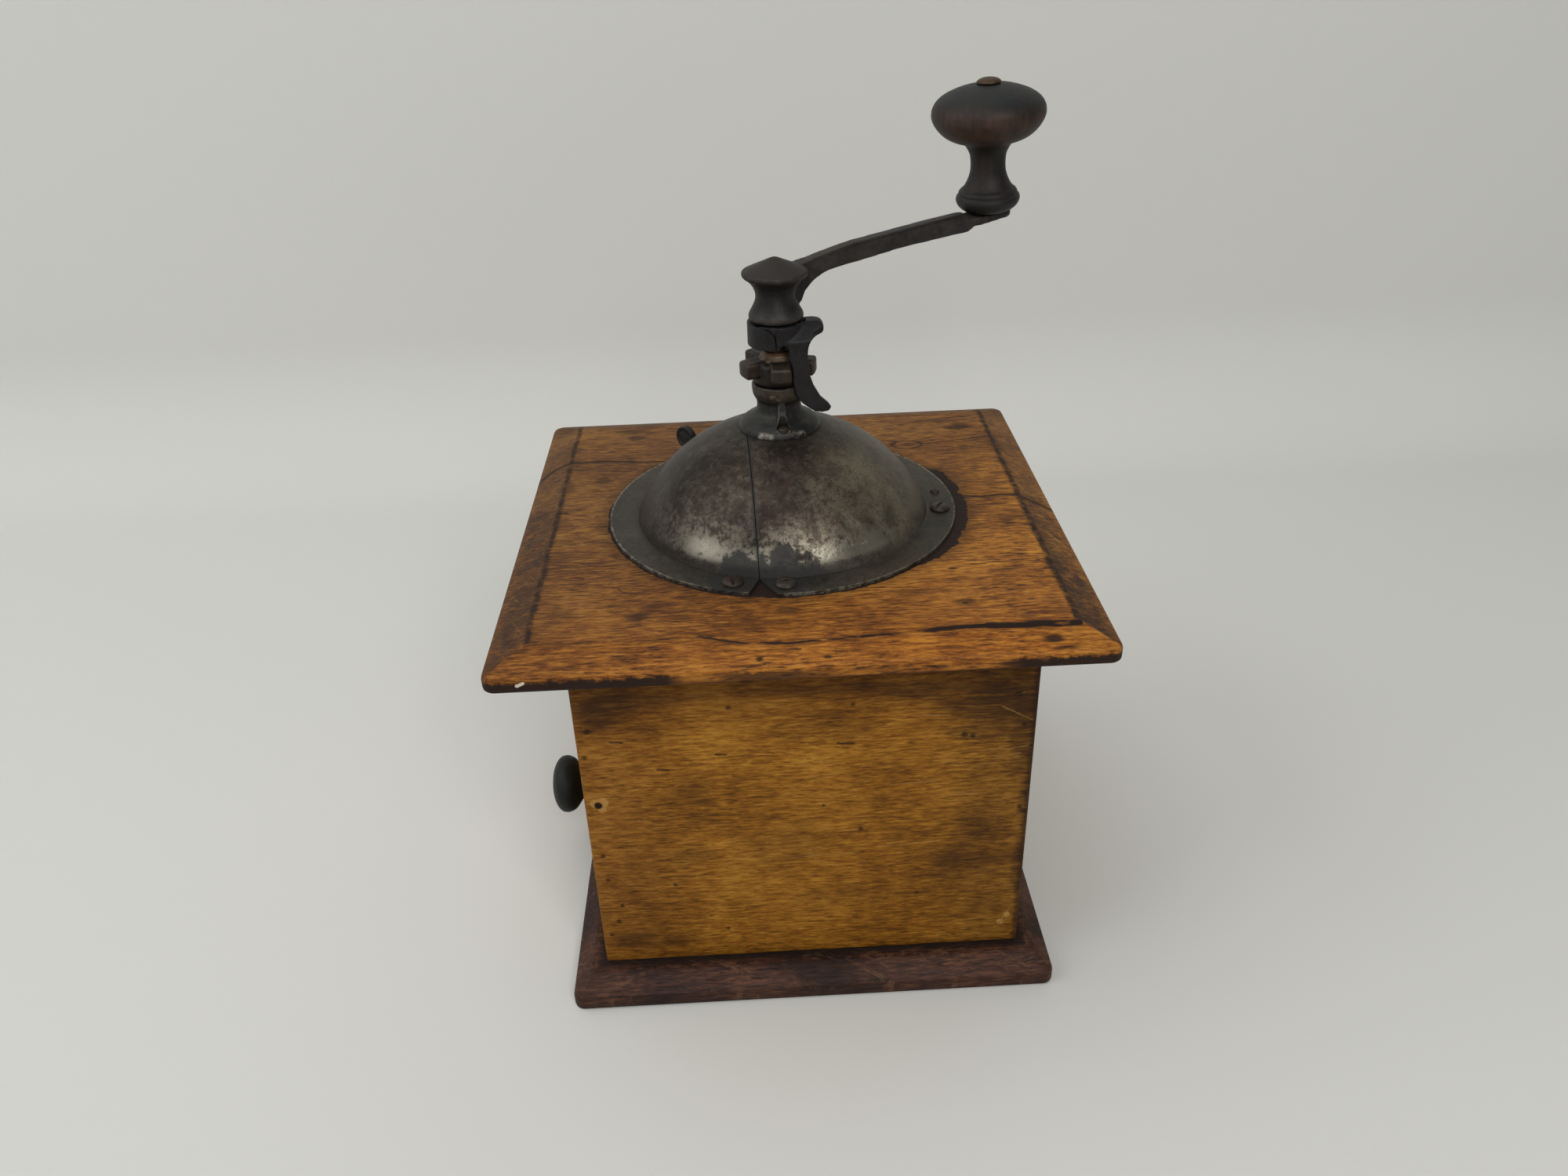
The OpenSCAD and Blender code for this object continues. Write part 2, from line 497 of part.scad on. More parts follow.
module crank_arm() color(c_iron) at_axis() rotate([0, 0, crank_az]) difference() {
  union() {
    rotate_extrude($fn = 64) polygon([[0, 179.9], [6.6, 179.9], [7.2, 180.4], [7.35, 180.9], [7.1, 181.8], [6.3, 183.2], [5.6, 184.6], [5.24, 185.9], [5.35, 187.3], [6.0, 188.9],
                                      [7.2, 190.4], [8.5, 191.3], [8.8, 191.9], [8.65, 192.6], [6.0, 193.8], [3.2, 195.0], [1.0, 196.0], [0, 196.3]]);
    along_y(-2.2, 2.2) polygon([[3, 182.2], [6.6, 183.3], [8.7, 186.4], [13.2, 188.9], [18.5, 189.95], [29.5, 190.4], [43.3, 191.1], [60, 191.1], [67.0, 191.2], [68.6, 191.9],
                                [70.0, 192.9], [71.4, 193.3], [73, 193.45], [73, 195.2], [69.6, 195.15], [68.2, 195.7], [67.0, 196.25], [64, 196.5], [58, 196.5], [49, 196.3], [40.3, 196.0],
                                [29.5, 195.7], [23.7, 195.4], [14.2, 194.3], [7.2, 193.3], [3, 192.6]]);
    // thin palm under the knob, bent up a little
    intersection() {
      along_y(-6, 6) polygon([[66, 192.4], [72, 193.05], [86, 194.15], [86, 196.15], [76.5, 195.55], [68, 195.0], [66, 194.9]]);
      linear_extrude(height = 200) union() {
        polygon([[66, -2.1], [71, -4.0], [79.2, -4.6], [79.2, 4.6], [71, 4.0], [66, 2.1]]);
        translate([79.2, 0]) circle(r = 4.6, $fn = 48);
      }
    }
  }
  translate([0, 0, 178]) cylinder(r = spin_r + e, h = 12.5, $fn = 48);
  on_lean() rotate_extrude($fn = 48) polygon([[0, -4], [3.1, -4], [3.1, -0.4], [2.2, 0.3], [2.2, 4], [0, 4]]);
}

// the knob leans a little towards the hub: heights here count from the palm
module on_lean() translate([throw, 0, 194]) rotate([0, lean, 0]) children();
module at_knob() at_axis() rotate([0, 0, crank_az]) on_lean() translate([0, 0, -194]) children();

module knob_rivet() color(c_iron) at_knob() rotate_extrude($fn = 48)
  polygon([[0, 193.4], [3.1, 193.4], [3.1, 193.6], [2.2, 194.3], [2.2, 230.2], [3.4, 230.2], [3.35, 230.6], [2.9, 231.05], [2.1, 231.4], [1.0, 231.6], [0, 231.65]]);

module crank_knob() color(c_dark) at_knob() rotate_extrude($fn = 64)
  polygon([[2.28, 195.9], [6.3, 195.9], [7.5, 196.5], [8.6, 197.5], [9.1, 198.6], [9.15, 199.3], [8.85, 200.1], [8.4, 200.5], [8.35, 200.75], [8.3, 201.2], [7.9, 201.7], [7.2, 202.2], [6.5, 203.1],
           [5.8, 204.5], [5.15, 206.5], [4.95, 208.8], [5.2, 211.4], [6.1, 213.3], [7.1, 214.6], [8.6, 215.05], [10.8, 215.85], [12.5, 216.85], [13.9, 218.15], [15.1, 219.8],
           [15.75, 221.3], [15.9, 222.5], [15.6, 224.2], [14.4, 226.0], [12.1, 227.6], [8.6, 229.0], [5.6, 229.7], [4.0, 230.0], [2.28, 230.1]]);

// ---------------------------------------------------------------- drawing

base_board();
base_nails();
side_panel_near();
side_panel_far();
end_panel();
front_rail();
deck();
deck_nails();
burr_housing();
housing_screws();
ring_burr();
bridge();
bridge_screws();
dome_right();
dome_left();
dome_screws();
dome_pin();
neck_casting();
neck_rivets();
shutter();
shutter_tab();
drawer_front();
drawer_side_near();
drawer_side_far();
drawer_back();
drawer_bottom();
drawer_pins();
drawer_knob();
drawer_knob_screw();
spindle();
grinding_cone();
adjusting_nut();
collar();
crank_arm();
knob_rivet();
latch();
latch_pin();
crank_knob();
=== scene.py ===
import json
import math

import bmesh
import bpy
import numpy as np
from mathutils import Matrix, Vector, noise

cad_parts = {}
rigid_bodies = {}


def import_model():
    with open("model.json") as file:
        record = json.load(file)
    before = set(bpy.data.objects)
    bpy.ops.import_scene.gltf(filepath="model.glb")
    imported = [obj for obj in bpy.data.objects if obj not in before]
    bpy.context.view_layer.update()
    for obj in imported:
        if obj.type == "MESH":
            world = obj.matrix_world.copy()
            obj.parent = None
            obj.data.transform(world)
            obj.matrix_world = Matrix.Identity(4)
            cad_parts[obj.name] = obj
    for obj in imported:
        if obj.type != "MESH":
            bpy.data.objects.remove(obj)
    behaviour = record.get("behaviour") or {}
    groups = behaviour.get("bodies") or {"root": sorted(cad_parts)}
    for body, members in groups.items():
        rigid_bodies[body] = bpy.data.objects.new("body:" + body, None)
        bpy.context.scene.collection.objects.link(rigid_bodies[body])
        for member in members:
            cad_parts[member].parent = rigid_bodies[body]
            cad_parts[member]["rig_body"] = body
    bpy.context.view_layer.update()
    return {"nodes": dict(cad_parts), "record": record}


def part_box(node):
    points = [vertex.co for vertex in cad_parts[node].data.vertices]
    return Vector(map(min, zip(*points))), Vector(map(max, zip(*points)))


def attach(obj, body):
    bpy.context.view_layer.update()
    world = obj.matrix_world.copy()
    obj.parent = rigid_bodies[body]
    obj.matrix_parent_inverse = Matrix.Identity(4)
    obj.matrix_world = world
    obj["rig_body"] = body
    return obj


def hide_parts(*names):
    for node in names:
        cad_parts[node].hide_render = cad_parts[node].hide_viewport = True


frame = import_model()
nodes = frame["nodes"]
body_of_node = {n: o["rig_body"] for n, o in nodes.items()}
MM = 0.001
AX = -2.8  # spindle axis, mm
scene = bpy.context.scene

# ------------------------------------------------------------------ camera
C = Vector((-11.61, -311.22, 280.47)) * MM
YAW, PITCH, ROLL = math.radians(1.5628), math.radians(30.4715), math.radians(-1.9349)
FOCAL_PX = 1542.91
fwd = Vector((math.sin(YAW) * math.cos(PITCH), math.cos(YAW) * math.cos(PITCH), -math.sin(PITCH)))
rgt = Vector((math.cos(YAW), -math.sin(YAW), 0))
upv = rgt.cross(fwd)
r2 = rgt * math.cos(ROLL) + upv * math.sin(ROLL)
u2 = upv * math.cos(ROLL) - rgt * math.sin(ROLL)
cam_data = bpy.data.cameras.new("camera")
cam = bpy.data.objects.new("camera", cam_data)
scene.collection.objects.link(cam)
cam_data.sensor_width = 36
cam_data.lens = 36 * FOCAL_PX / 2000
cam_data.clip_start, cam_data.clip_end = 0.01, 20
cam.matrix_world = Matrix(((r2.x, u2.x, -fwd.x, C.x), (r2.y, u2.y, -fwd.y, C.y), (r2.z, u2.z, -fwd.z, C.z), (0, 0, 0, 1)))
scene.camera = cam


# ------------------------------------------------------------------ node graphs
class Graph:
    """A small helper that writes a node material."""

    def __init__(self, name):
        self.mat = bpy.data.materials.new(name)
        self.mat.use_nodes = True
        self.t = self.mat.node_tree
        self.t.nodes.clear()
        self.out = self.t.nodes.new("ShaderNodeOutputMaterial")
        self.bsdf = self.t.nodes.new("ShaderNodeBsdfPrincipled")
        self.t.links.new(self.bsdf.outputs[0], self.out.inputs[0])
        self.co = self.t.nodes.new("ShaderNodeTexCoord").outputs["Object"]
        sep = self.t.nodes.new("ShaderNodeSeparateXYZ")
        self.t.links.new(self.co, sep.inputs[0])
        self.x, self.y, self.z = sep.outputs

    def put(self, socket, value):
        if isinstance(value, bpy.types.NodeSocket):
            self.t.links.new(value, socket)
        else:
            socket.default_value = value

    def math(self, op, a, b=0.0, c=0.0, clamp=False):
        n = self.t.nodes.new("ShaderNodeMath")
        n.operation, n.use_clamp = op, clamp
        for i, v in enumerate((a, b, c)):
            if i < len(n.inputs):
                self.put(n.inputs[i], v)
        return n.outputs[0]

    def mul(self, a, b, clamp=False):
        return self.math("MULTIPLY", a, b, clamp=clamp)

    def add(self, a, b, clamp=False):
        return self.math("ADD", a, b, clamp=clamp)

    def sub(self, a, b, clamp=False):
        return self.math("SUBTRACT", a, b, clamp=clamp)

    def mx(self, *vals):
        r = vals[0]
        for v in vals[1:]:
            r = self.math("MAXIMUM", r, v)
        return r

    def step(self, v, lo, hi, a=0.0, b=1.0):
        """Smooth step of v from lo to hi."""
        n = self.t.nodes.new("ShaderNodeMapRange")
        n.interpolation_type = "SMOOTHSTEP"
        for i, q in enumerate((v, lo, hi, a, b)):
            self.put(n.inputs[i], q)
        return n.outputs[0]

    def mapping(self, scale=(1, 1, 1), loc=(0, 0, 0), rot=(0, 0, 0), vec=None):
        n = self.t.nodes.new("ShaderNodeMapping")
        self.put(n.inputs[0], vec or self.co)
        n.inputs["Location"].default_value = loc
        n.inputs["Rotation"].default_value = rot
        n.inputs["Scale"].default_value = scale
        return n.outputs[0]

    def noise(self, vec=None, scale=100.0, detail=4.0, rough=0.55, dist=0.0, lac=2.0):
        n = self.t.nodes.new("ShaderNodeTexNoise")
        self.put(n.inputs["Vector"], vec or self.co)
        n.inputs["Scale"].default_value = scale
        n.inputs["Detail"].default_value = detail
        n.inputs["Roughness"].default_value = rough
        n.inputs["Lacunarity"].default_value = lac
        n.inputs["Distortion"].default_value = dist
        return n.outputs["Fac"]

    def voronoi(self, vec=None, scale=100.0, feature="F1", rand=1.0):
        n = self.t.nodes.new("ShaderNodeTexVoronoi")
        n.feature = feature
        self.put(n.inputs["Vector"], vec or self.co)
        n.inputs["Scale"].default_value = scale
        n.inputs["Randomness"].default_value = rand
        return n.outputs["Distance"]

    def ramp(self, fac, stops):
        n = self.t.nodes.new("ShaderNodeValToRGB")
        self.put(n.inputs[0], fac)
        els = n.color_ramp.elements
        while len(els) < len(stops):
            els.new(0.5)
        for el, (p, c) in zip(els, stops):
            el.position = p
            el.color = (*c, 1)
        return n.outputs[0]

    def mix(self, fac, a, b, mode="MIX"):
        n = self.t.nodes.new("ShaderNodeMix")
        n.data_type, n.blend_type = "RGBA", mode
        self.put(n.inputs[0], fac)
        self.put(n.inputs[6], a if isinstance(a, bpy.types.NodeSocket) else (*a, 1))
        self.put(n.inputs[7], b if isinstance(b, bpy.types.NodeSocket) else (*b, 1))
        return n.outputs[2]

    def dist_xy(self, cx, cy, sx=1.0, sy=1.0):
        """Distance in mm from a point in plan, in the row frame."""
        dx = self.mul(self.sub(self.x, cx * MM), 1000.0 * sx)
        dy = self.mul(self.sub(self.y, cy * MM), 1000.0 * sy)
        return self.math("SQRT", self.add(self.mul(dx, dx), self.mul(dy, dy)))

    def segment(self, a, b, wob=None, flat=None):
        """Distance in mm from a segment given in mm; flat 'z' or 'y' leaves that axis out."""
        v = self.t.nodes.new("ShaderNodeVectorMath")
        v.operation = "SUBTRACT"
        at = wob or self.co
        if flat:
            k = self.t.nodes.new("ShaderNodeVectorMath")
            k.operation = "MULTIPLY"
            self.put(k.inputs[0], at)
            k.inputs[1].default_value = (1, 1, 0) if flat == "z" else (1, 0, 1)
            at = k.outputs[0]
            a, b = [(p[0], p[1], 0) if flat == "z" else (p[0], 0, p[2]) for p in (a, b)]
        self.put(v.inputs[0], at)
        v.inputs[1].default_value = Vector(a) * MM
        ab = (Vector(b) - Vector(a)) * MM
        d = self.t.nodes.new("ShaderNodeVectorMath")
        d.operation = "DOT_PRODUCT"
        self.put(d.inputs[0], v.outputs[0])
        d.inputs[1].default_value = ab / ab.length_squared
        t = self.math("MAXIMUM", self.math("MINIMUM", d.outputs["Value"], 1.0), 0.0)
        s = self.t.nodes.new("ShaderNodeVectorMath")
        s.operation = "SCALE"
        s.inputs[0].default_value = ab
        self.put(s.inputs["Scale"], t)
        q = self.t.nodes.new("ShaderNodeVectorMath")
        q.operation = "DISTANCE"
        self.put(q.inputs[0], v.outputs[0])
        self.put(q.inputs[1], s.outputs[0])
        return self.mul(q.outputs["Value"], 1000.0)

    def wobble(self, amount_mm, scale):
        n = self.t.nodes.new("ShaderNodeTexNoise")
        self.put(n.inputs["Vector"], self.co)
        n.inputs["Scale"].default_value = scale
        n.inputs["Detail"].default_value = 3
        v = self.t.nodes.new("ShaderNodeVectorMath")
        v.operation = "SUBTRACT"
        self.put(v.inputs[0], n.outputs["Color"])
        v.inputs[1].default_value = (0.5, 0.5, 0.5)
        s = self.t.nodes.new("ShaderNodeVectorMath")
        s.operation = "SCALE"
        self.put(s.inputs[0], v.outputs[0])
        s.inputs["Scale"].default_value = amount_mm * 2 * MM
        a = self.t.nodes.new("ShaderNodeVectorMath")
        a.operation = "ADD"
        self.put(a.inputs[0], self.co)
        self.put(a.inputs[1], s.outputs[0])
        return a.outputs[0]

    def bump(self, height, strength=0.3, dist=0.0005, normal=None):
        n = self.t.nodes.new("ShaderNodeBump")
        n.inputs["Strength"].default_value = strength
        n.inputs["Distance"].default_value = dist
        self.put(n.inputs["Height"], height)
        if normal:
            self.put(n.inputs["Normal"], normal)
        return n.outputs[0]

    def set(self, **kw):
        for k, v in kw.items():
            s = self.bsdf.inputs[k.replace("_", " ")]
            if isinstance(v, tuple) and len(v) == 3 and s.type == "RGBA":
                v = (*v, 1)
            self.put(s, v)


def srgb(r, g, b):
    return tuple(((c / 255) / 12.92 if c / 255 <= 0.04045 else ((c / 255 + 0.055) / 1.055) ** 2.4) for c in (r, g, b))


# ------------------------------------------------------------------ wood
def along(axis, length, across):
    return {"x": (length, across, across), "y": (across, length, across), "z": (across, across, length)}[axis]


def smudge(g, cx, cy, rx, ry, u=None, v=None, rag=0.9, scale=60.0):
    """A soft ragged patch, centre and radii in mm, in the plane of two coordinates."""
    du = g.mul(g.sub(u or g.x, cx * MM), 1000.0 / rx)
    dv = g.mul(g.sub(v or g.z, cy * MM), 1000.0 / ry)
    d = g.math("SQRT", g.add(g.mul(du, du), g.mul(dv, dv)))
    d = g.add(d, g.mul(g.sub(g.noise(g.mapping(along("x", 0.45, 1.3)), scale, 5, 0.66, 0.4), 0.5), rag * 2))
    return g.step(d, 1.15, 0.35)


def scratches(g, angle, length=38.0, across=620.0, lo=0.63, hi=0.69, seed=0.0):
    """Sparse thin streaks at an angle in plan."""
    v = g.mapping((1, 1, 1), (seed, seed, 0), (0, 0, math.radians(angle)))
    return g.step(g.noise(g.mapping((length, across, 60.0), vec=v), 1.0, 2, 0.5), lo, hi)


def wood(name, dark, mid, light, axis="x", fleck=0.6, fleck_col=None, rough=0.42, dirt=None, dirt_col=(0.012, 0.007, 0.004), marks=None, seed=0.0, grain=1.0, coat=0.0, contrast=1.0, spec=0.3, painted_sheen=None):
    """Old beech. axis is the grain's direction; dirt(g) and marks(g) add what the part has."""
    g = Graph(name)
    loc = (seed, seed * 0.7, seed * 1.3)
    fine = g.noise(g.mapping(along(axis, 170.0, 1300.0), loc), 1.0, 5, 0.66, 0.2)
    strk = g.noise(g.mapping(along(axis, 42.0, 520.0), loc), 1.0, 5, 0.64, 0.3)
    broad = g.noise(g.mapping(along(axis, 9.0, 62.0), loc), 1.0, 6, 0.66, 0.9)
    cloud = g.noise(g.mapping((1, 1, 1), loc), 30.0, 7, 0.70, 0.4)
    hair = g.noise(g.mapping(along(axis, 420.0, 3000.0), loc), 1.0, 3, 0.6, 0.1)
    f = g.add(g.add(g.mul(fine, 1.25 * contrast), g.mul(strk, 0.45 * contrast)), g.add(g.mul(broad, 0.45 * contrast), g.mul(cloud, 0.95 * contrast)))
    f = g.add(g.add(f, g.mul(hair, 0.7 * contrast)), 0.5 - 1.90 * contrast)
    col = g.ramp(f, [(0.26, dark), (0.50, mid), (0.76, light)])
    # the deck's painted sheen of light, laid over the grain's colour
    if painted_sheen:
        col = painted_sheen(g, col)
    # the short dark flecks of beech
    fl = g.noise(g.mapping(along(axis, 230.0, 1500.0), loc), 1.0, 2, 0.5)
    fl = g.mul(g.step(fl, 0.575, 0.67), g.step(g.noise(g.mapping((1, 1, 1), (2, 2, 5)), 38.0, 4, 0.6), 0.40, 0.60, 0.25, 1.0))
    col = g.mix(g.mul(fl, fleck), col, fleck_col or tuple(c * 0.32 for c in dark))
    height = g.sub(g.add(g.mul(fine, 0.6 * grain), g.mul(strk, 0.5 * grain)), g.mul(fl, 0.7))
    rgh = g.add(g.mul(strk, 0.24), rough - 0.08)
    if dirt:
        d = dirt(g)
        col = g.mix(d, col, dirt_col)
        rgh = g.add(rgh, g.mul(d, 0.18))
    if marks:
        col, height, rgh = marks(g, col, height, rgh)
    g.set(Base_Color=col, Roughness=rgh, IOR=1.48, Specular_IOR_Level=spec)
    if coat:
        g.set(Coat_Weight=coat, Coat_Roughness=0.28)
    g.set(Normal=g.bump(height, 0.6, 0.00028))
    return g.mat


def edge_dirt(spans, amount=0.9, wob=0.012, patch=0.5):
    """Dirt that gathers at planes: spans is [(axis, at mm, fade mm, weight)]; a positive fade darkens above 'at' and a negative below it."""

    def make(g):
        n = g.noise(None, 60.0, 5, 0.65, 0.5)
        n2 = g.noise(g.mapping((1, 1, 1), (3, 1, 2)), 260.0, 4, 0.65)
        total = None
        for axis, at, fade, w in spans:
            c = {"x": g.x, "y": g.y, "z": g.z}[axis]
            c = g.add(c, g.mul(g.sub(n, 0.5), wob))
            m = g.mul(g.step(c, (at - fade) * MM, at * MM), w)
            total = m if total is None else g.math("MAXIMUM", total, m)
        sp = g.step(g.add(g.mul(n, 0.6), g.mul(n2, 0.4)), 0.40, 0.62, 1 - patch, 1.0)
        return g.mul(g.mul(total, sp), amount, clamp=True)

    return make


def deck_painted_sheen(g, col):
    """Painted sheen across the deck's top: brighter orange at the front and right, duller olive brown at the back and
    left, where the top is seen at a grazing angle.
    """
    t = g.step(g.sub(g.x, g.mul(g.y, 1.2)), -0.09, 0.13)
    col = g.mix(g.sub(1.0, t), col, (0.68, 0.75, 0.92), "MULTIPLY")
    col = g.mix(t, col, (1.18, 1.18, 1.04), "MULTIPLY")
    # brighter right of the middle, and the front bevel more golden
    side = g.mul(g.mul(g.step(g.x, 0.020, 0.055), g.step(g.y, -0.055, -0.025)), g.step(g.y, 0.070, 0.040))
    col = g.mix(side, col, (1.22, 1.28, 1.14), "MULTIPLY")
    front = g.mul(g.step(g.y, -0.060, -0.069), g.step(g.x, 0.066, 0.060))
    return g.mix(g.mul(front, 0.40), col, (1.14, 1.00, 0.70), "MULTIPLY")


def deck_marks(g, col, height, rgh):
    w1 = g.wobble(0.9, 90.0)
    w2 = g.wobble(1.6, 60.0)
    rag = g.noise(None, 120.0, 6, 0.68, 0.4)
    fine = g.noise(None, 420.0, 5, 0.65)
    top = g.step(g.z, 0.1207, 0.1213)
    # bevels at both sides: dark, with scratches across
    bx = g.mul(g.sub(rag, 0.5), 0.006)
    right = g.step(g.add(g.x, bx), 0.0640, 0.0672)
    left = g.step(g.add(g.x, bx), -0.0655, -0.0685)
    outer = g.mx(g.step(g.x, 0.0718, 0.0748), g.step(g.x, -0.0735, -0.0765))
    fi = g.add(g.y, 0.0758 + 0.0)
    mitre_r = g.step(g.sub(fi, g.sub(0.0753, g.x)), -0.0002, 0.0010)
    mitre_l = g.step(g.sub(fi, g.add(g.x, 0.0773)), -0.0002, 0.0010)
    right = g.mul(right, mitre_r)
    left = g.mul(left, mitre_l)
    depth = g.step(g.y, 0.070, -0.045, 0.45, 1.0)
    patch = g.step(g.add(g.mul(rag, 0.6), g.mul(fine, 0.4)), 0.38, 0.58, 0.55, 1.0)
    side = g.mul(g.mul(g.mx(g.mul(right, 0.92), g.mul(left, 0.74)), depth), patch)
    side = g.mul(side, g.sub(1.0, g.mul(outer, 0.45)))
    sc = g.mul(g.mx(scratches(g, 62, 60, 700, 0.61, 0.69), scratches(g, 48, 80, 800, 0.63, 0.70, 3)), g.step(fine, 0.4, 0.55))
    side = g.mul(side, g.sub(1.0, g.mul(sc, 0.6)))
    col = g.mix(side, col, srgb(40, 25, 17))
    # dark line where each bevel meets the flat
    lx = g.math("ABSOLUTE", g.mul(g.sub(g.add(g.x, g.mul(g.sub(rag, 0.5), 0.0022)), 0.0660), 1000.0))
    lx2 = g.math("ABSOLUTE", g.mul(g.add(g.add(g.x, g.mul(g.sub(rag, 0.5), 0.0022)), 0.0674), 1000.0))
    lines = g.mx(g.mul(g.step(lx, 1.5, 0.3), 0.9), g.mul(g.step(lx2, 1.2, 0.25), 0.85))
    lines = g.mul(g.mul(lines, g.step(g.y, -0.069, -0.064)), g.step(fine, 0.35, 0.55, 0.4, 1.0))
    # the front one is faint at the left and a ragged black streak at the right
    fr = None
    for a, b, k in (((-65, -66.3, 123.7), (-25, -66.3, 123.7), 0.45), ((-25, -66.3, 123.7), (-14, -68.5, 123.6), 0.2), ((-14, -68.6, 123.6), (9, -68.9, 123.5), 0.15), ((9, -68.8, 123.5), (30, -67.6, 123.6), 0.05), ((30, -67.6, 123.6), (44, -66.7, 123.7), -0.2), ((44, -66.7, 123.7), (66, -66.8, 123.7), -0.45)):
        s = g.add(g.segment(a, b, w2, "z"), k)
        fr = s if fr is None else g.math("MINIMUM", fr, s)
    gaps = g.step(g.noise(g.mapping((1, 3, 1), (4, 0, 0)), 95.0, 4, 0.6), 0.36, 0.52, 0.25, 1.0)
    front = g.mul(g.mx(g.step(fr, 0.85, 0.25), g.mul(g.step(fr, 2.2, 0.5), 0.30)), gaps)
    cracks = [((-77.3, 30.0, 123.7), (-76.0, 32.0, 123.7)), ((-76.0, 32.0, 123.7), (-72.3, 36.8, 123.7)), ((-72.3, 36.8, 123.7), (-66.0, 38.6, 123.7)), ((-66.0, 38.6, 123.7), (-55.2, 38.6, 123.7)), ((-55.2, 38.6, 123.7), (-46, 36.8, 123.7)), ((-46, 36.8, 123.7), (-36.0, 36.6, 123.7)),
              ((46, 3.9, 123.7), (54.7, 1.9, 123.7)), ((54.7, 1.9, 123.7), (60.0, 3.0, 123.7)), ((60.0, 3.0, 123.7), (67.1, 1.5, 123.7)), ((67.1, 1.5, 123.7), (75.4, -4.2, 123.7))]
    d = None
    for a, b in cracks:
        s = g.segment(a, b, w1, "z")
        d = s if d is None else g.math("MINIMUM", d, s)
    thin = None
    for a, b in (((43.0, 41.3, 123.7), (69.7, 45.6, 123.7)), ((37.5, 56.8, 123.7), (51.6, 61.0, 123.7)), ((51.6, 61.0, 123.7), (66.5, 63.3, 123.7)), ((49.0, -3.2, 123.7), (61.2, -3.0, 123.7)), ((-38, 62.5, 123.7), (-10, 64.5, 123.7))):
        s = g.segment(a, b, w1, "z")
        thin = s if thin is None else g.math("MINIMUM", thin, s)
    line = g.mx(g.step(d, 0.55, 0.22), g.mul(g.step(thin, 0.42, 0.12), 0.65))
    halo = g.mul(g.step(d, 2.2, 0.3), 0.35)
    # knot, its ring and stains
    knot = g.dist_xy(38.6, 41.2, 0.62, 1.0)
    kr = g.mul(g.step(g.math("ABSOLUTE", g.sub(g.add(knot, g.mul(g.sub(fine, 0.5), 1.6)), 2.9)), 0.55, 0.15), 0.75)
    kn = g.mul(g.step(g.add(knot, g.mul(rag, 1.5)), 2.6, 1.2), 0.4)
    blots = None
    for cx, cy, rx, ry, wt in ((-24.0, -66.0, 3.0, 1.2, 0.7), (-11.4, -73.6, 1.1, 0.9, 0.9), (4.8, -73.9, 1.6, 0.9, 0.85), (59, -71.8, 3.0, 1.7, 0.9), (61.3, -74.6, 4.2, 0.9, 0.85), (40.2, -56.4, 1.5, 0.8, 0.95), (39.9, -38.9, 1.9, 0.9, 0.85), (-4.1, -55.0, 1.7, 0.9, 0.6),
                               (-36.1, -27.6, 1.6, 1.0, 0.5), (-40.7, -56.6, 1.6, 1.1, 0.7), (-56.0, 25.1, 2.3, 1.9, 0.6), (-58, 17.5, 2.2, 1.6, 0.45), (-49.5, 61.5, 7.0, 2.4, 0.6), (56.9, 53.4, 6.5, 2.2, 0.7), (-66.5, 20.0, 3.0, 6.0, 0.55), (66, 40, 3.0, 9.0, 0.5), (52, 59, 9, 1.6, 0.35), (30, -50, 9, 2.0, 0.35), (-60, -52, 6, 3, 0.3), (-20, 63, 12, 2, 0.35)):
        s = g.mul(smudge(g, cx, cy, rx, ry, g.x, g.y, 0.55, 190.0), wt)
        blots = s if blots is None else g.math("MAXIMUM", blots, s)
    # a faint curved scratch near the front left of the flange
    arc = g.dist_xy(-39.0, -41.5, 0.42, 1.0)
    arc = g.mul(g.mul(g.step(g.math("ABSOLUTE", g.sub(arc, 3.2)), 0.32, 0.08), g.step(g.y, -0.0400, -0.0425)), 0.55)
    # black grease round the flange, thick at the right
    ax = g.dist_xy(AX, 0)
    ang = g.math("ARCTAN2", g.y, g.sub(g.x, AX * MM))
    sector = g.step(g.math("COSINE", g.add(ang, math.radians(8))), 0.76, 0.90)
    crust = g.add(g.mul(g.sub(rag, 0.5), 5.5), g.mul(g.sub(fine, 0.5), 3.5))
    ring = g.step(g.add(g.sub(ax, g.mul(sector, 2.9)), g.mul(crust, g.add(0.45, g.mul(sector, 0.55)))), 50.2, 49.7)
    soft = g.mul(g.step(g.add(g.sub(ax, g.mul(sector, 3.0)), crust), 54.5, 49.8), 0.42)
    nl = None
    for x, y in ((-41, -55.75), (-4, -55.75), (40.4, -55.75), (-48, 55.75), (57.6, 55.75), (-56, 24)):
        s = g.dist_xy(x, y, 0.6, 1.0)
        nl = s if nl is None else g.math("MINIMUM", nl, s)
    nd = g.mul(g.step(g.add(nl, g.mul(g.sub(fine, 0.5), 2.0)), 2.4, 1.0), 0.6)
    # the nose under the bevel: dirt below, black patches left and right
    nose = g.step(g.add(g.z, g.mul(g.sub(fine, 0.5), 0.0040)), 0.1200, 0.1188)
    nose = g.mul(nose, g.mx(g.step(g.noise(g.mapping((0.4, 1, 1), (0, 3, 0)), 60.0, 4, 0.6), 0.42, 0.58, 0.15, 0.8), g.mul(g.step(g.x, -0.026, -0.034), 0.98), g.mul(g.step(g.x, 0.040, 0.052), 0.98)))
    nose = g.mul(nose, g.step(g.y, 0.0, -0.07, 0.6, 1.0))
    # painted shade on the deck's rounded underside
    low = g.mul(g.step(g.z, 0.1178, 0.1166), 0.75)
    m = g.mx(g.mul(g.mx(halo, kn, kr, ring, soft, nd, blots, arc), top), g.mul(g.mx(lines, front), g.step(g.z, 0.1212, 0.1228)), g.mul(line, g.step(g.z, 0.1165, 0.1190)), nose, low)
    col = g.mix(m, col, srgb(33, 19, 12))
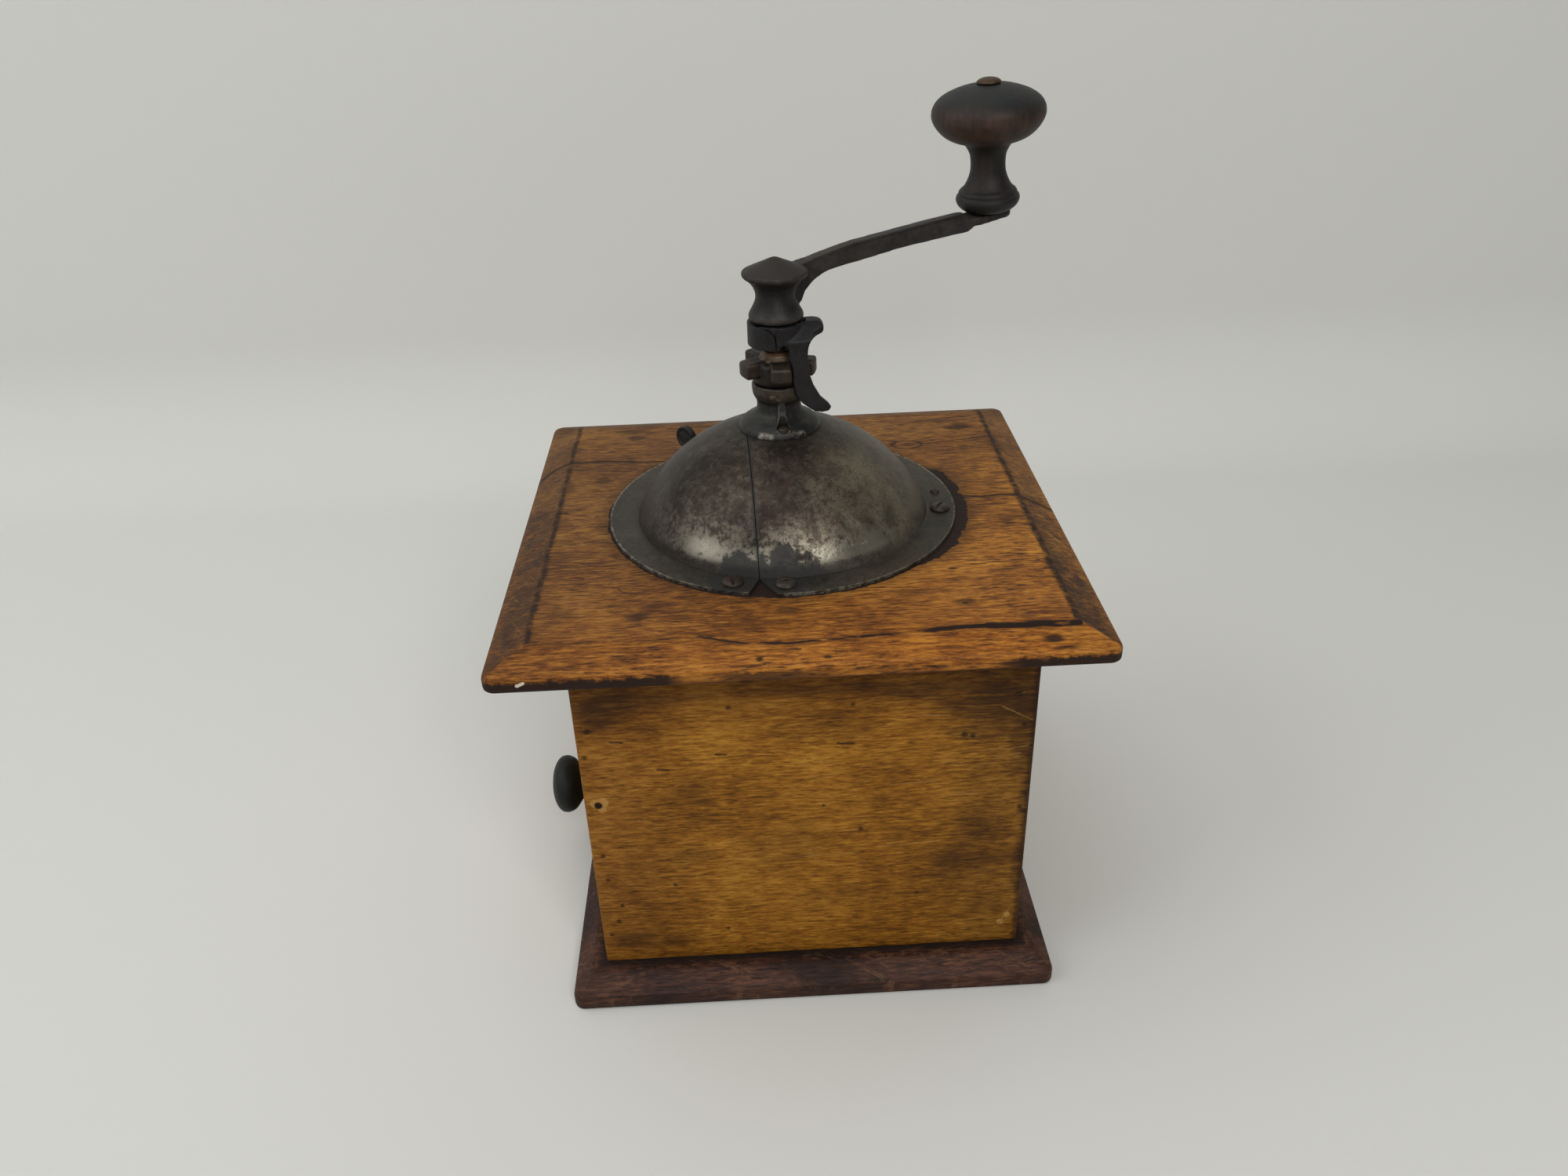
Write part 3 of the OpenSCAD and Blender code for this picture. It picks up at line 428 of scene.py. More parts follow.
    # a small fleck of white paint on the front edge
    pf = g.segment((-68.6, -75.8, 118.7), (-67.3, -75.8, 119.3))
    paint = g.step(g.add(pf, g.mul(g.noise(None, 900.0, 3), 0.9)), 0.98, 0.80)
    col = g.mix(paint, col, srgb(206, 196, 176))
    height = g.sub(height, g.add(g.mul(line, 3.0), g.mul(g.mul(sc, side), 0.6)))
    rgh = g.add(rgh, g.mul(m, 0.12))
    return col, height, rgh


def panel_marks(g, col, height, rgh):
    # dent with pale bare wood, scratches, chips and dark spots on the near panel
    w = g.wobble(0.5, 300.0)

    def spot(x, z, r, soft):
        s = g.segment((x, -60, z), (x + 0.01, -60, z), w)
        return g.step(s, r + soft, r)

    near = g.step(g.y, -0.0585, -0.0598)
    # broad handling dirt: upper corners, right arris, a few clouds
    sm = None
    for cx, cz, rx, rz, wt in ((-49.5, 100.5, 11.0, 4.6, 0.85), (-53.5, 98.0, 6.0, 6.5, 0.8), (-36, 101.5, 16, 2.2, 0.5), (52, 96, 17, 8.5, 0.85), (46, 87, 12, 4.5, 0.55), (57.5, 84, 5.0, 17.0, 0.8), (33, 100.5, 16, 3.6, 0.65), (4, 102.2, 30, 1.8, 0.5),
                               (40, 42, 14, 8.0, 0.5), (47, 53, 9, 5.5, 0.45), (-7, 50, 17, 10, 0.30), (-30, 72, 8, 6, 0.30), (-33, 48, 10, 5, 0.32), (-51, 17.5, 9.5, 4.2, 0.75), (-40, 16.2, 9, 2.6, 0.5), (59.0, 64, 2.6, 13.0, 0.8), (58.5, 40, 2.2, 18.0, 0.6), (2, 90, 20, 5, 0.22), (50, 24, 9, 6, 0.3), (-28, 62, 4, 3, 0.3), (10, 30, 22, 5, 0.22)):
        s = g.mul(smudge(g, cx, cz, rx, rz), wt)
        sm = s if sm is None else g.math("MAXIMUM", sm, s)
    streaky = g.noise(g.mapping(along("x", 60.0, 800.0), (1, 1, 6)), 1.0, 4, 0.65)
    loose = g.mul(g.sub(streaky, 0.5), 0.03)
    # painted shade: the near face darker at the top, under the deck's overhang
    col = g.mix(g.mul(g.step(g.add(g.z, loose), 0.0860, 0.1030), near), col, (0.62, 0.58, 0.60), "MULTIPLY")
    # darker towards the left and right ends
    col = g.mix(g.mul(g.step(g.add(g.x, loose), -0.022, -0.052), near), col, (0.80, 0.78, 0.96), "MULTIPLY")
    col = g.mix(g.mul(g.step(g.add(g.x, loose), 0.026, 0.054), near), col, (0.80, 0.84, 1.05), "MULTIPLY")
    sm = g.mul(g.mul(sm, g.step(streaky, 0.36, 0.56, 0.62, 1.0)), near)
    col = g.mix(g.mul(sm, 0.90), col, srgb(46, 27, 13))
    rim = g.mul(g.step(g.add(g.x, g.mul(g.sub(streaky, 0.5), 0.004)), 0.0576, 0.0592), near)
    col = g.mix(g.mul(rim, 0.72), col, srgb(38, 22, 12))
    hole = spot(-56.4, 67.9, 0.8, 0.5)
    bare = g.mx(spot(-57.0, 68.6, 1.2, 0.6), spot(-54.9, 68.9, 1.2, 0.6), spot(-55.4, 66.6, 0.9, 0.5))
    chip = g.mx(spot(54.6, 16.9, 0.8, 0.5), spot(56.4, 19.6, 0.7, 0.4))
    scr = None
    for a, b in (((40.5, -60, 86.0), (44.6, -60, 85.0)), ((50.5, -60, 94.2), (58.8, -60, 89.3)), ((49.8, -60, 77.7), (56.3, -60, 78.6)), ((52.0, -60, 80.0), (58.3, -60, 81.0)), ((44.0, -60, 75.2), (50.2, -60, 75.6)), ((56.8, -60, 22.0), (54.9, -60, 17.2)), ((53.0, -60, 15.0), (56.6, -60, 17.8)), ((54.2, -60, 97.6), (56.2, -60, 98.2)),
                 ((-58.6, -60, 70.8), (-53.6, -60, 71.4)), ((-28, -60, 58.6), (-20, -60, 59.2)), ((20, -60, 48.4), (36, -60, 49.2)), ((-5, -60, 45.8), (12, -60, 46.6)), ((30, -60, 92.6), (37, -60, 92.0)), ((22, -60, 70), (34, -60, 70.6)), ((40, -60, 66), (47, -60, 65.2))):
        s = g.segment(a, b, g.wobble(0.25, 200.0) if scr is None else None)
        scr = s if scr is None else g.math("MINIMUM", scr, s)
    sc = g.mul(g.step(scr, 0.34, 0.10), g.step(streaky, 0.40, 0.55, 0.35, 1.0))
    pale = g.mul(g.mx(g.mul(bare, 0.6), g.mul(chip, 0.8), g.mul(sc, 0.42)), near)
    col = g.mix(pale, col, srgb(182, 138, 76))
    dk = None
    for x, z, r in ((-56.6, 92.5, 0.9), (-58.2, 84, 0.6), (-57.0, 50, 0.7), (-55.0, 25, 0.9), (-57.6, 20, 0.8), (-53.5, 31, 0.5), (56.8, 88, 0.7), (57.4, 60, 0.6), (41.1, 85.6, 1.0), (43.3, 85.2, 0.8), (54.7, 97.8, 1.1),
                    (-20, 98, 0.6), (12, 97, 0.5), (-38, 38, 0.5), (30, 30, 0.5), (4, 64, 0.4), (-56.5, 41, 0.5), (14, 55, 0.7), (-24, 20, 0.6)):
        s = spot(x, z, r * 0.5, 0.7)
        dk = s if dk is None else g.math("MAXIMUM", dk, s)
    for a, b in (((-51.2, -60, 88.9), (-48.2, -60, 88.5)), ((-39.6, -60, 79.1), (-37.0, -60, 78.7)), ((-24, -60, 83.2), (-21.4, -60, 83.0)), ((8, -60, 84.8), (12, -60, 84.5))):
        dk = g.math("MAXIMUM", dk, g.step(g.segment(a, b, w), 0.6, 0.2))
    dk = g.mul(g.mx(g.mul(dk, 0.75), hole), near)
    col = g.mix(dk, col, srgb(30, 17, 8))
    gap = g.mul(g.step(g.x, -0.05995, -0.06010), g.step(g.add(g.y, g.mul(g.sub(streaky, 0.5), 0.003)), -0.0545, -0.0575))
    col = g.mix(g.mul(gap, 0.92), col, srgb(18, 12, 9))
    height = g.sub(height, g.mul(g.mx(hole, g.mul(sc, 0.5)), 3.0))
    return col, height, rgh


def base_marks(g, col, height, rgh):
    """Pale scratches and painted shade on the top next to the walls."""
    fine = g.noise(None, 420.0, 5, 0.65)
    sc = g.mul(g.mx(scratches(g, 24, 45, 650, 0.60, 0.68, 5), scratches(g, -12, 60, 700, 0.62, 0.69, 8)), g.step(fine, 0.40, 0.56))
    col = g.mix(g.mul(sc, 0.45), col, srgb(112, 80, 56))
    wx = g.math("ABSOLUTE", g.x)
    wy = g.math("ABSOLUTE", g.y)
    near = g.math("MAXIMUM", wx, wy)
    near = g.add(near, g.mul(g.sub(fine, 0.5), 0.0022))
    # painted shade on the base's top at the foot of the walls
    wall_foot_shade = g.mul(g.step(near, 0.0634, 0.0606), g.step(g.z, 0.0080, 0.0086))
    rim = g.mul(g.step(g.math("ABSOLUTE", g.mul(g.sub(near, 0.0632), 1000.0)), 0.7, 0.2), g.mul(g.step(g.z, 0.0082, 0.0087), 0.5))
    nose = g.mul(g.step(g.z, 0.0016, 0.0004), 0.8)
    patch = g.mul(g.step(g.noise(g.mapping((0.7, 1, 1), (1, 8, 1)), 48.0, 5, 0.62, 0.4), 0.50, 0.62), 0.55)
    m = g.mx(g.mul(wall_foot_shade, 0.85), nose, patch)
    col = g.mix(m, col, srgb(22, 13, 9))
    col = g.mix(g.mul(rim, g.step(fine, 0.45, 0.6)), col, srgb(96, 66, 46))
    height = g.add(g.sub(height, g.mul(sc, 0.5)), 0.0)
    return col, height, g.add(rgh, g.mul(m, 0.1))


M = {}
M["deck_wood"] = wood(
    "deck_wood", srgb(78, 42, 12), srgb(130, 78, 26), srgb(170, 114, 46), "x", 0.85, srgb(42, 21, 9), rough=0.50,
    dirt=edge_dirt([("y", 74.8, 4.0, 0.6), ("y", 66.0, 3.0, 0.25)], 0.9, 0.006, 0.50),
    dirt_col=srgb(34, 20, 12), marks=deck_marks, seed=1.7, contrast=1.0, spec=0.22, painted_sheen=deck_painted_sheen)
M["panel_wood"] = wood(
    "panel_wood", srgb(94, 57, 14), srgb(140, 90, 24), srgb(176, 124, 46), "x", 0.50, srgb(62, 36, 12), rough=0.60,
    dirt=edge_dirt([("z", 114.0, 18.0, 0.5), ("z", 8.4, -3.5, 0.45)], 0.9, 0.014, 0.8),
    dirt_col=srgb(40, 23, 10), marks=panel_marks, seed=4.1, contrast=0.9, spec=0.15)


def end_marks(g, col, height, rgh):
    """Handling dirt on the boards of both ends: darker at the top, round the drawer's knob and along the arrises."""
    rag = g.noise(None, 110.0, 6, 0.68, 0.4)
    out = g.math("ABSOLUTE", g.x)
    face = g.step(out, 0.0570, 0.0585)
    top = g.step(g.add(g.z, g.mul(g.sub(rag, 0.5), 0.020)), 0.0930, 0.1120)
    side = g.step(g.add(g.math("ABSOLUTE", g.y), g.mul(g.sub(rag, 0.5), 0.008)), 0.0500, 0.0575)
    dy = g.mul(g.y, 1000.0 / 17.0)
    dz = g.mul(g.sub(g.z, 0.0272), 1000.0 / 10.0)
    hand = g.math("SQRT", g.add(g.mul(dy, dy), g.mul(dz, dz)))
    hand = g.mul(g.step(g.add(hand, g.mul(g.sub(rag, 0.5), 1.4)), 1.1, 0.4), g.step(g.x, -0.05, -0.055))
    m = g.mul(g.mx(g.mul(top, 0.75), g.mul(side, 0.6), g.mul(hand, 0.55)), face)
    col = g.mix(g.mul(m, g.step(rag, 0.36, 0.58, 0.55, 1.0)), col, srgb(42, 25, 12))
    # the gap at the near end of the boards over the drawer's side
    gap = g.mul(g.step(g.x, -0.05995, -0.06010), g.step(g.add(g.y, g.mul(g.sub(rag, 0.5), 0.003)), -0.0545, -0.0575))
    col = g.mix(g.mul(gap, 0.92), col, srgb(18, 12, 9))
    return col, height, g.add(rgh, g.mul(m, 0.06))


M["panel_wood_y"] = wood(
    "panel_wood_y", srgb(94, 57, 14), srgb(140, 90, 24), srgb(176, 124, 46), "y", 0.50, srgb(62, 36, 12), rough=0.60,
    marks=end_marks, seed=6.4, contrast=0.9, spec=0.15)
M["drawer_wood_y"] = wood("drawer_wood_y", srgb(120, 86, 50), srgb(166, 126, 80), srgb(196, 160, 112), "y", 0.4, srgb(88, 58, 32), rough=0.62,
                          dirt=edge_dirt([("z", 8.0, -12.0, 0.5)], 0.6, 0.02, 0.8), dirt_col=srgb(50, 30, 16), seed=3.6, contrast=0.8)
M["base_wood"] = wood(
    "base_wood", srgb(34, 17, 11), srgb(64, 36, 25), srgb(98, 62, 42), "x", 0.6, srgb(18, 10, 7), rough=0.55,
    dirt=edge_dirt([("y", -69.9, -1.2, 0.4), ("z", 9.6, 2.0, 0.4)], 0.9, 0.004, 0.6), dirt_col=srgb(18, 11, 8), marks=base_marks, seed=7.3, contrast=0.9, spec=0.28)
M["drawer_wood"] = wood("drawer_wood", srgb(120, 86, 50), srgb(166, 126, 80), srgb(196, 160, 112), "x", 0.4, srgb(88, 58, 32), rough=0.62,
                        dirt=edge_dirt([("z", 8.0, -12.0, 0.5)], 0.6, 0.02, 0.8), dirt_col=srgb(50, 30, 16), seed=2.2, contrast=0.8)


# ------------------------------------------------------------------ iron
def iron(name, dark, mid, bare, wear=0.45, rough=0.46, rust=0.35, rust_col=None, scale=1.0, bump=0.35, metal=0.35, marks=None, spec=0.4):
    """Old cast or sheet iron: dark skin, rubbed arrises, painted shade in the hollows, brown rust and a fine rough
    grain. The mesh may carry 'edge': how far in mm a place stands out of its surroundings.
    """
    g = Graph(name)
    big = g.noise(None, 75.0 * scale, 6, 0.62, 0.4)
    fine = g.noise(None, 520.0 * scale, 5, 0.62)
    grit = g.noise(None, 1900.0 * scale, 3, 0.6)
    col = g.ramp(g.add(g.mul(big, 0.6), g.mul(fine, 0.4)), [(0.41, dark), (0.59, mid)])
    ru = g.mul(g.step(g.noise(g.mapping((1, 1, 1), (5, 2, 1)), 130.0 * scale, 6, 0.66, 0.6), 0.50, 0.68), rust)
    col = g.mix(ru, col, rust_col or srgb(62, 36, 24))
    at = g.t.nodes.new("ShaderNodeAttribute")
    at.attribute_name = "edge"
    stands = at.outputs["Fac"]
    edge = g.mul(g.step(g.add(stands, g.mul(g.sub(fine, 0.5), 0.12)), 0.060, 0.170), g.step(fine, 0.30, 0.56, 0.3, 1.0))
    # painted shade: darker where the surface lies below its surroundings
    hollow_shade = g.step(g.add(stands, g.mul(g.sub(fine, 0.5), 0.05)), -0.02, -0.13)
    wear_and_highlight = g.mul(g.mx(edge, g.mul(g.step(g.noise(g.mapping((1, 1, 1), (1, 7, 3)), 110.0 * scale, 5, 0.6), 0.60, 0.78), 0.3)), wear)
    if marks:
        col, wear_and_highlight = marks(g, col, wear_and_highlight, fine)
    col = g.mix(wear_and_highlight, col, bare)
    col = g.mix(g.mul(hollow_shade, 0.6), col, tuple(c * 0.35 for c in dark))
    h = g.add(g.mul(grit, 0.45), g.mul(fine, 0.9))
    g.set(Base_Color=col, Metallic=g.add(metal, g.mul(wear_and_highlight, 0.4)), Roughness=g.sub(g.add(g.add(rough - 0.08, g.mul(fine, 0.18)), g.mul(ru, 0.16)), g.mul(wear_and_highlight, 0.12)), Specular_IOR_Level=spec)
    g.set(Normal=g.bump(h, bump * 1.35, 0.00024))
    return g.mat


def neck_marks(g, col, wear_and_highlight, fine):
    """Mottled bright places on the shoulder's front, a tan bead with a painted highlight on its front, and a painted
    shadow of the latch's tongue on the neck's front right, under the bead.
    """
    rad = g.dist_xy(AX, 0)
    ang = g.math("ARCTAN2", g.y, g.sub(g.x, AX * MM))
    mot = g.noise(None, 700.0, 5, 0.7)

    def window(deg, half):
        return g.step(g.math("COSINE", g.sub(ang, math.radians(deg))), math.cos(math.radians(half * 1.25)), math.cos(math.radians(half * 0.6)))

    low = g.mul(g.step(g.z, 0.1518, 0.1510), g.mul(g.step(g.z, 0.1490, 0.1496), g.step(rad, 9.2, 10.2)))
    low = g.mul(low, g.mul(g.mx(window(-112, 11), window(-64, 10)), g.step(g.add(g.mul(fine, 0.5), g.mul(mot, 0.5)), 0.42, 0.58)))
    wear_and_highlight = g.mx(wear_and_highlight, g.mul(low, 0.62))
    bead = g.mul(g.mul(g.step(g.z, 0.1580, 0.1592), g.step(g.z, 0.1626, 0.1616)), g.step(fine, 0.36, 0.6, 0.3, 0.8))
    col = g.mix(g.mul(bead, 0.50), col, srgb(92, 78, 58))
    # painted highlight on the bead's front
    bead_highlight = g.mul(g.mul(g.step(g.z, 0.1590, 0.1599), g.step(g.z, 0.1612, 0.1603)), g.mul(window(-97, 14), g.step(mot, 0.50, 0.62)))
    wear_and_highlight = g.mx(wear_and_highlight, g.mul(bead_highlight, 0.5))
    # painted shadow of the latch's tongue on the neck's front right
    dark = g.mul(g.mul(g.step(g.z, 0.1516, 0.1530), g.step(g.z, 0.1592, 0.1584)), g.mul(window(-72, 24), g.step(fine, 0.36, 0.56, 0.4, 1.0)))
    col = g.mix(g.mul(dark, 0.6), col, srgb(17, 16, 15))
    return col, wear_and_highlight


def arm_marks(g, col, wear_and_highlight, fine):
    """The hub: brown on top, painted shade in the waist under the cap, broken by fine upright streaks, a lighter foot.
    """
    rad = g.dist_xy(AX, 0)
    hub = g.step(rad, 10.5, 9.0)
    up = g.noise(g.mapping((900, 900, 70)), 1.0, 4, 0.62)
    # painted shade under the cap, broken by fine upright streaks
    waist = g.mul(g.mul(g.step(g.z, 0.1920, 0.1900), g.step(g.z, 0.1812, 0.1838)), hub)
    col = g.mix(g.mul(waist, g.step(up, 0.36, 0.60, 0.90, 0.55)), col, srgb(20, 19, 19))
    foot = g.mul(g.mul(g.step(g.z, 0.1835, 0.1815), hub), g.step(up, 0.38, 0.60, 0.2, 0.7))
    col = g.mix(g.mul(foot, 0.5), col, srgb(66, 64, 63))
    cap = g.mul(g.step(g.z, 0.1916, 0.1922), hub)
    col = g.mix(g.mul(cap, g.step(fine, 0.36, 0.60, 0.55, 0.92)), col, srgb(44, 38, 34))
    return col, wear_and_highlight


def nut_marks(g, col, wear_and_highlight, fine):
    """Dull tan ring on top, rust brown stem, olive lobes."""
    rad = g.dist_xy(AX, 0)
    mot = g.noise(None, 620.0, 5, 0.7)
    ring = g.mul(g.step(g.z, 0.16895, 0.16920), g.step(rad, 5.3, 5.0))
    col = g.mix(g.mul(ring, g.step(mot, 0.36, 0.60, 0.35, 0.9)), col, srgb(104, 90, 70))
    stem = g.mul(g.step(g.z, 0.1706, 0.1708), g.step(rad, 4.4, 4.1))
    col = g.mix(stem, col, srgb(88, 58, 42))
    lobe = g.mul(g.step(rad, 7.2, 8.0), g.step(mot, 0.34, 0.60, 0.3, 0.9))
    col = g.mix(g.mul(lobe, 0.55), col, srgb(64, 54, 38))
    return col, wear_and_highlight


M["cast_iron"] = iron("cast_iron", srgb(26, 25, 24), srgb(52, 50, 47), srgb(150, 143, 130), wear=0.35, rough=0.52, rust=0.25, rust_col=srgb(52, 36, 28))
M["arm_iron"] = iron("arm_iron", srgb(31, 28, 27), srgb(58, 53, 50), srgb(126, 117, 106), wear=0.34, rough=0.55, rust=0.35, rust_col=srgb(60, 47, 41), marks=arm_marks)
M["latch_iron"] = iron("latch_iron", srgb(22, 21, 22), srgb(38, 36, 37), srgb(110, 106, 100), wear=0.26, rough=0.52, rust=0.12, rust_col=srgb(40, 32, 30))
M["nut_iron"] = iron("nut_iron", srgb(22, 18, 15), srgb(43, 35, 28), srgb(138, 128, 108), wear=0.40, rough=0.50, rust=0.45, rust_col=srgb(62, 42, 30), marks=nut_marks)
M["neck_iron"] = iron("neck_iron", srgb(26, 26, 24), srgb(50, 49, 45), srgb(172, 166, 152), wear=0.30, rough=0.46, rust=0.25, rust_col=srgb(50, 36, 28), marks=neck_marks)
M["burr_iron"] = iron("burr_iron", srgb(52, 50, 48), srgb(86, 82, 78), srgb(150, 146, 140), wear=0.5, rough=0.5, rust=0.3, metal=0.8)
M["spindle_steel"] = iron("spindle_steel", srgb(44, 34, 26), srgb(78, 60, 44), srgb(120, 104, 86), wear=0.3, rough=0.5, rust=0.5, rust_col=srgb(82, 54, 34), metal=0.5)
M["fastener"] = iron("fastener", srgb(40, 35, 31), srgb(78, 70, 61), srgb(164, 156, 138), wear=0.65, rough=0.45, rust=0.4, rust_col=srgb(74, 48, 33), metal=0.6)


def dome_material():
    g = Graph("dome_sheet")
    ang = g.math("ARCTAN2", g.y, g.sub(g.x, AX * MM))
    rad = g.dist_xy(AX, 0)

    def window(deg, half):
        return g.step(g.math("COSINE", g.sub(ang, math.radians(deg))), math.cos(math.radians(half)), math.cos(math.radians(half * 0.35)))

    big = g.noise(None, 52.0, 7, 0.68, 0.5)
    mot = g.noise(g.mapping((1, 1, 1), (2, 4, 1)), 150.0, 8, 0.70, 0.3)
    fine = g.noise(None, 680.0, 6, 0.66)
    streak = g.noise(g.mapping((340, 340, 40)), 1.0, 5, 0.65)
    base = g.add(g.add(g.mul(big, 0.40), g.mul(mot, 0.25)), g.add(g.mul(streak, 0.17), g.mul(fine, 0.18)))
    col = g.ramp(base, [(0.41, srgb(37, 31, 27)), (0.50, srgb(62, 54, 47)), (0.60, srgb(96, 89, 77))])
    # greyer at the right, redder in the middle
    grey = g.mul(window(-22, 52), g.step(g.z, 0.1500, 0.1440))
    col = g.mix(g.mul(grey, g.step(mot, 0.36, 0.6, 0.35, 0.8)), col, srgb(112, 106, 90))
    warm = g.mul(window(-84, 22), g.step(g.z, 0.1330, 0.1390))
    ru = g.step(g.noise(g.mapping((1, 1, 1), (7, 1, 3)), 110.0, 8, 0.72, 0.8), 0.50, 0.62)
    col = g.mix(g.mul(ru, g.add(0.42, g.mul(warm, 0.35))), col, srgb(60, 40, 34))
    scab = g.mul(g.step(g.noise(g.mapping((1, 1, 1), (3, 9, 2)), 330.0, 6, 0.72, 0.4), 0.55, 0.63), g.step(g.z, 0.130, 0.138))
    col = g.mix(g.mul(scab, 0.28), col, srgb(120, 114, 100))
    # painted highlight: a bright band low on the bulge towards the front, where the front light reflects
    band = g.mul(g.step(g.z, 0.1258, 0.1276), g.step(g.z, 0.1345, 0.1288))
    front = g.mx(window(-113, 27), window(-63, 27))
    weak_highlight = g.mul(g.mul(g.step(g.z, 0.1250, 0.1275), g.step(g.z, 0.1400, 0.1300)), window(-92, 75))
    highlight_noise = g.add(g.mul(mot, 0.5), g.mul(fine, 0.5))
    wear_and_highlight = g.mx(g.mul(g.mul(band, front), 1.0), g.mul(weak_highlight, 0.42))
    wear_and_highlight = g.mul(wear_and_highlight, g.step(g.add(highlight_noise, g.mul(wear_and_highlight, 0.16)), 0.49, 0.60))
    # the front right lighter and the left darker
    col = g.mix(g.mul(window(-52, 32), g.step(g.z, 0.1530, 0.1460)), col, (1.55, 1.52, 1.48), "MULTIPLY")
    col = g.mix(window(-170, 55), col, (0.76, 0.76, 0.76), "MULTIPLY")
    # the band's painted highlight colour
    col = g.mix(g.mul(wear_and_highlight, 0.74), col, srgb(152, 147, 131))
    # the flange: plain grey iron, with a thin bright worn edge
    fl = g.step(rad, 40.6, 42.0)
    col = g.mix(g.mul(fl, 0.55), col, srgb(84, 79, 70))
    rim = g.mul(g.mul(g.step(rad, 48.45, 49.0), g.step(mot, 0.34, 0.52)), g.step(fine, 0.38, 0.56))
    col = g.mix(g.mul(rim, 0.75), col, srgb(172, 166, 150))
    col = g.mix(g.mul(fl, window(-22, 48)), col, (0.54, 0.53, 0.46), "MULTIPLY")
    # black grease in the corner of the flange, thick round the front screws and beside the seam
    fil = g.mul(g.step(rad, 38.9, 40.6), g.step(rad, 43.4, 41.4))
    grease_and_shade = g.add(g.mul(fil, g.add(0.30, g.mul(window(-75, 60), 0.35))), g.mul(g.mul(fl, g.step(mot, 0.44, 0.60)), g.add(0.22, g.mul(window(-50, 60), 0.35))))
    for px, py, r in ((AX - 14.6, -41.6, 7.0), (AX - 1.1, -42.8, 6.4), (AX + 44.2, -5.0, 3.6), (AX - 7.7, -42.0, 5.0), (AX + 6.0, -41.0, 3.2), (AX - 18.5, -39.0, 3.4)):
        d = g.add(g.dist_xy(px, py), g.mul(g.sub(g.noise(None, 300.0, 8, 0.78), 0.5), 9.0))
        grease_and_shade = g.math("MAXIMUM", grease_and_shade, g.step(d, r, r - 1.2))
    spots = g.mul(g.step(g.noise(g.mapping((1, 1, 1), (1, 1, 9)), 330.0, 7, 0.74), 0.585, 0.635), g.step(g.z, 0.145, 0.127))
    grease_and_shade = g.math("MAXIMUM", grease_and_shade, g.mul(spots, 0.70))
    # dirt along the seam, and painted shade round the neck's foot, under the bell's rim
    sx = g.add(g.sub(g.x, (AX - 9.4) * MM), g.mul(g.y, math.tan(math.radians(2.46))))
    seam = g.mul(g.step(g.math("ABSOLUTE", g.mul(sx, 1000.0)), 0.85, 0.22), g.step(fine, 0.30, 0.55, 0.5, 1.0))
    grease_and_shade = g.math("MAXIMUM", grease_and_shade, g.mul(seam, 0.85))
    # painted shade on the dome under the neck's bell
    neck = g.mul(g.step(g.add(rad, g.mul(g.sub(mot, 0.5), 5.0)), 14.5, 11.6), 0.55)
    grease_and_shade = g.math("MAXIMUM", grease_and_shade, neck)
    grease_and_shade = g.mul(grease_and_shade, g.step(mot, 0.3, 0.5, 0.75, 1.0), clamp=True)
    col = g.mix(g.mul(grease_and_shade, 0.9), col, srgb(15, 14, 12))
    speck = g.noise(None, 1500.0, 5, 0.70)
    col = g.mix(g.mul(g.step(speck, 0.48, 0.64, 0.0, 0.45), g.sub(1.0, g.mul(wear_and_highlight, 0.8))), col, srgb(26, 22, 19))
    h = g.add(g.add(g.mul(mot, 0.9), g.mul(fine, 0.8)), g.add(g.mul(speck, 0.4), g.mul(grease_and_shade, 0.7)))
    rgh = g.add(g.add(0.31, g.mul(mot, 0.24)), g.sub(g.mul(grease_and_shade, 0.20), g.mul(wear_and_highlight, 0.14)))
    g.set(Base_Color=col, Roughness=rgh, Metallic=g.sub(0.86, g.mul(g.mx(grease_and_shade, g.mul(ru, 0.35)), 0.7)))
    g.set(Normal=g.bump(h, 0.30, 0.00028))
    return g.mat


M["dome_sheet"] = dome_material()


def dark_wood():
    g = Graph("dark_wood")
    fine = g.noise(g.mapping((620, 620, 46)), 1.0, 5, 0.6)
    cloud = g.noise(None, 90.0, 5, 0.6, 0.4)
    grit = g.noise(None, 900.0, 4, 0.6)
    f = g.add(g.mul(fine, 0.55), g.mul(cloud, 0.45))
    col = g.ramp(f, [(0.38, srgb(17, 14, 13)), (0.52, srgb(31, 24, 21)), (0.66, srgb(50, 36, 29))])
    # the cap's top is a bluish black, its lower half rubbed brown by fingers
    cap = g.step(g.z, 0.2225, 0.2275)
    col = g.mix(g.mul(cap, g.step(f, 0.40, 0.60, 0.95, 0.55)), col, srgb(26, 31, 32))
    band = g.mul(g.step(g.z, 0.2145, 0.2165), g.step(g.z, 0.2262, 0.2215))
    wr = g.mul(band, g.step(f, 0.40, 0.58, 0.35, 1.0))
    col = g.mix(g.mul(wr, 0.60), col, srgb(74, 51, 38))
    foot = g.mul(g.step(g.z, 0.2030, 0.2005), g.step(g.z, 0.1, 0.12))
    col = g.mix(g.mul(foot, 0.65), col, srgb(27, 27, 26))
    # the drawer knob is a greener black
    low = g.step(g.z, 0.06, 0.05)
    col = g.mix(g.mul(low, 0.7), col, srgb(22, 28, 25))
    g.set(Base_Color=col, Roughness=g.add(0.46, g.mul(fine, 0.24)), Specular_IOR_Level=0.32)
    g.set(Normal=g.bump(g.add(fine, g.add(g.mul(cloud, 0.6), g.mul(grit, 0.25))), 0.35, 0.00022))
    return g.mat


M["dark_wood"] = dark_wood()

for n, o in nodes.items():
    slot = next(s["material_slot"] for s in frame["record"]["subparts"] if s["node"] == n)
    o.data.materials.clear()
    o.data.materials.append(M[slot])
    o.data.polygons.foreach_set("use_smooth", [True] * len(o.data.polygons))
SLOT = {s["node"]: s["material_slot"] for s in frame["record"]["subparts"]}


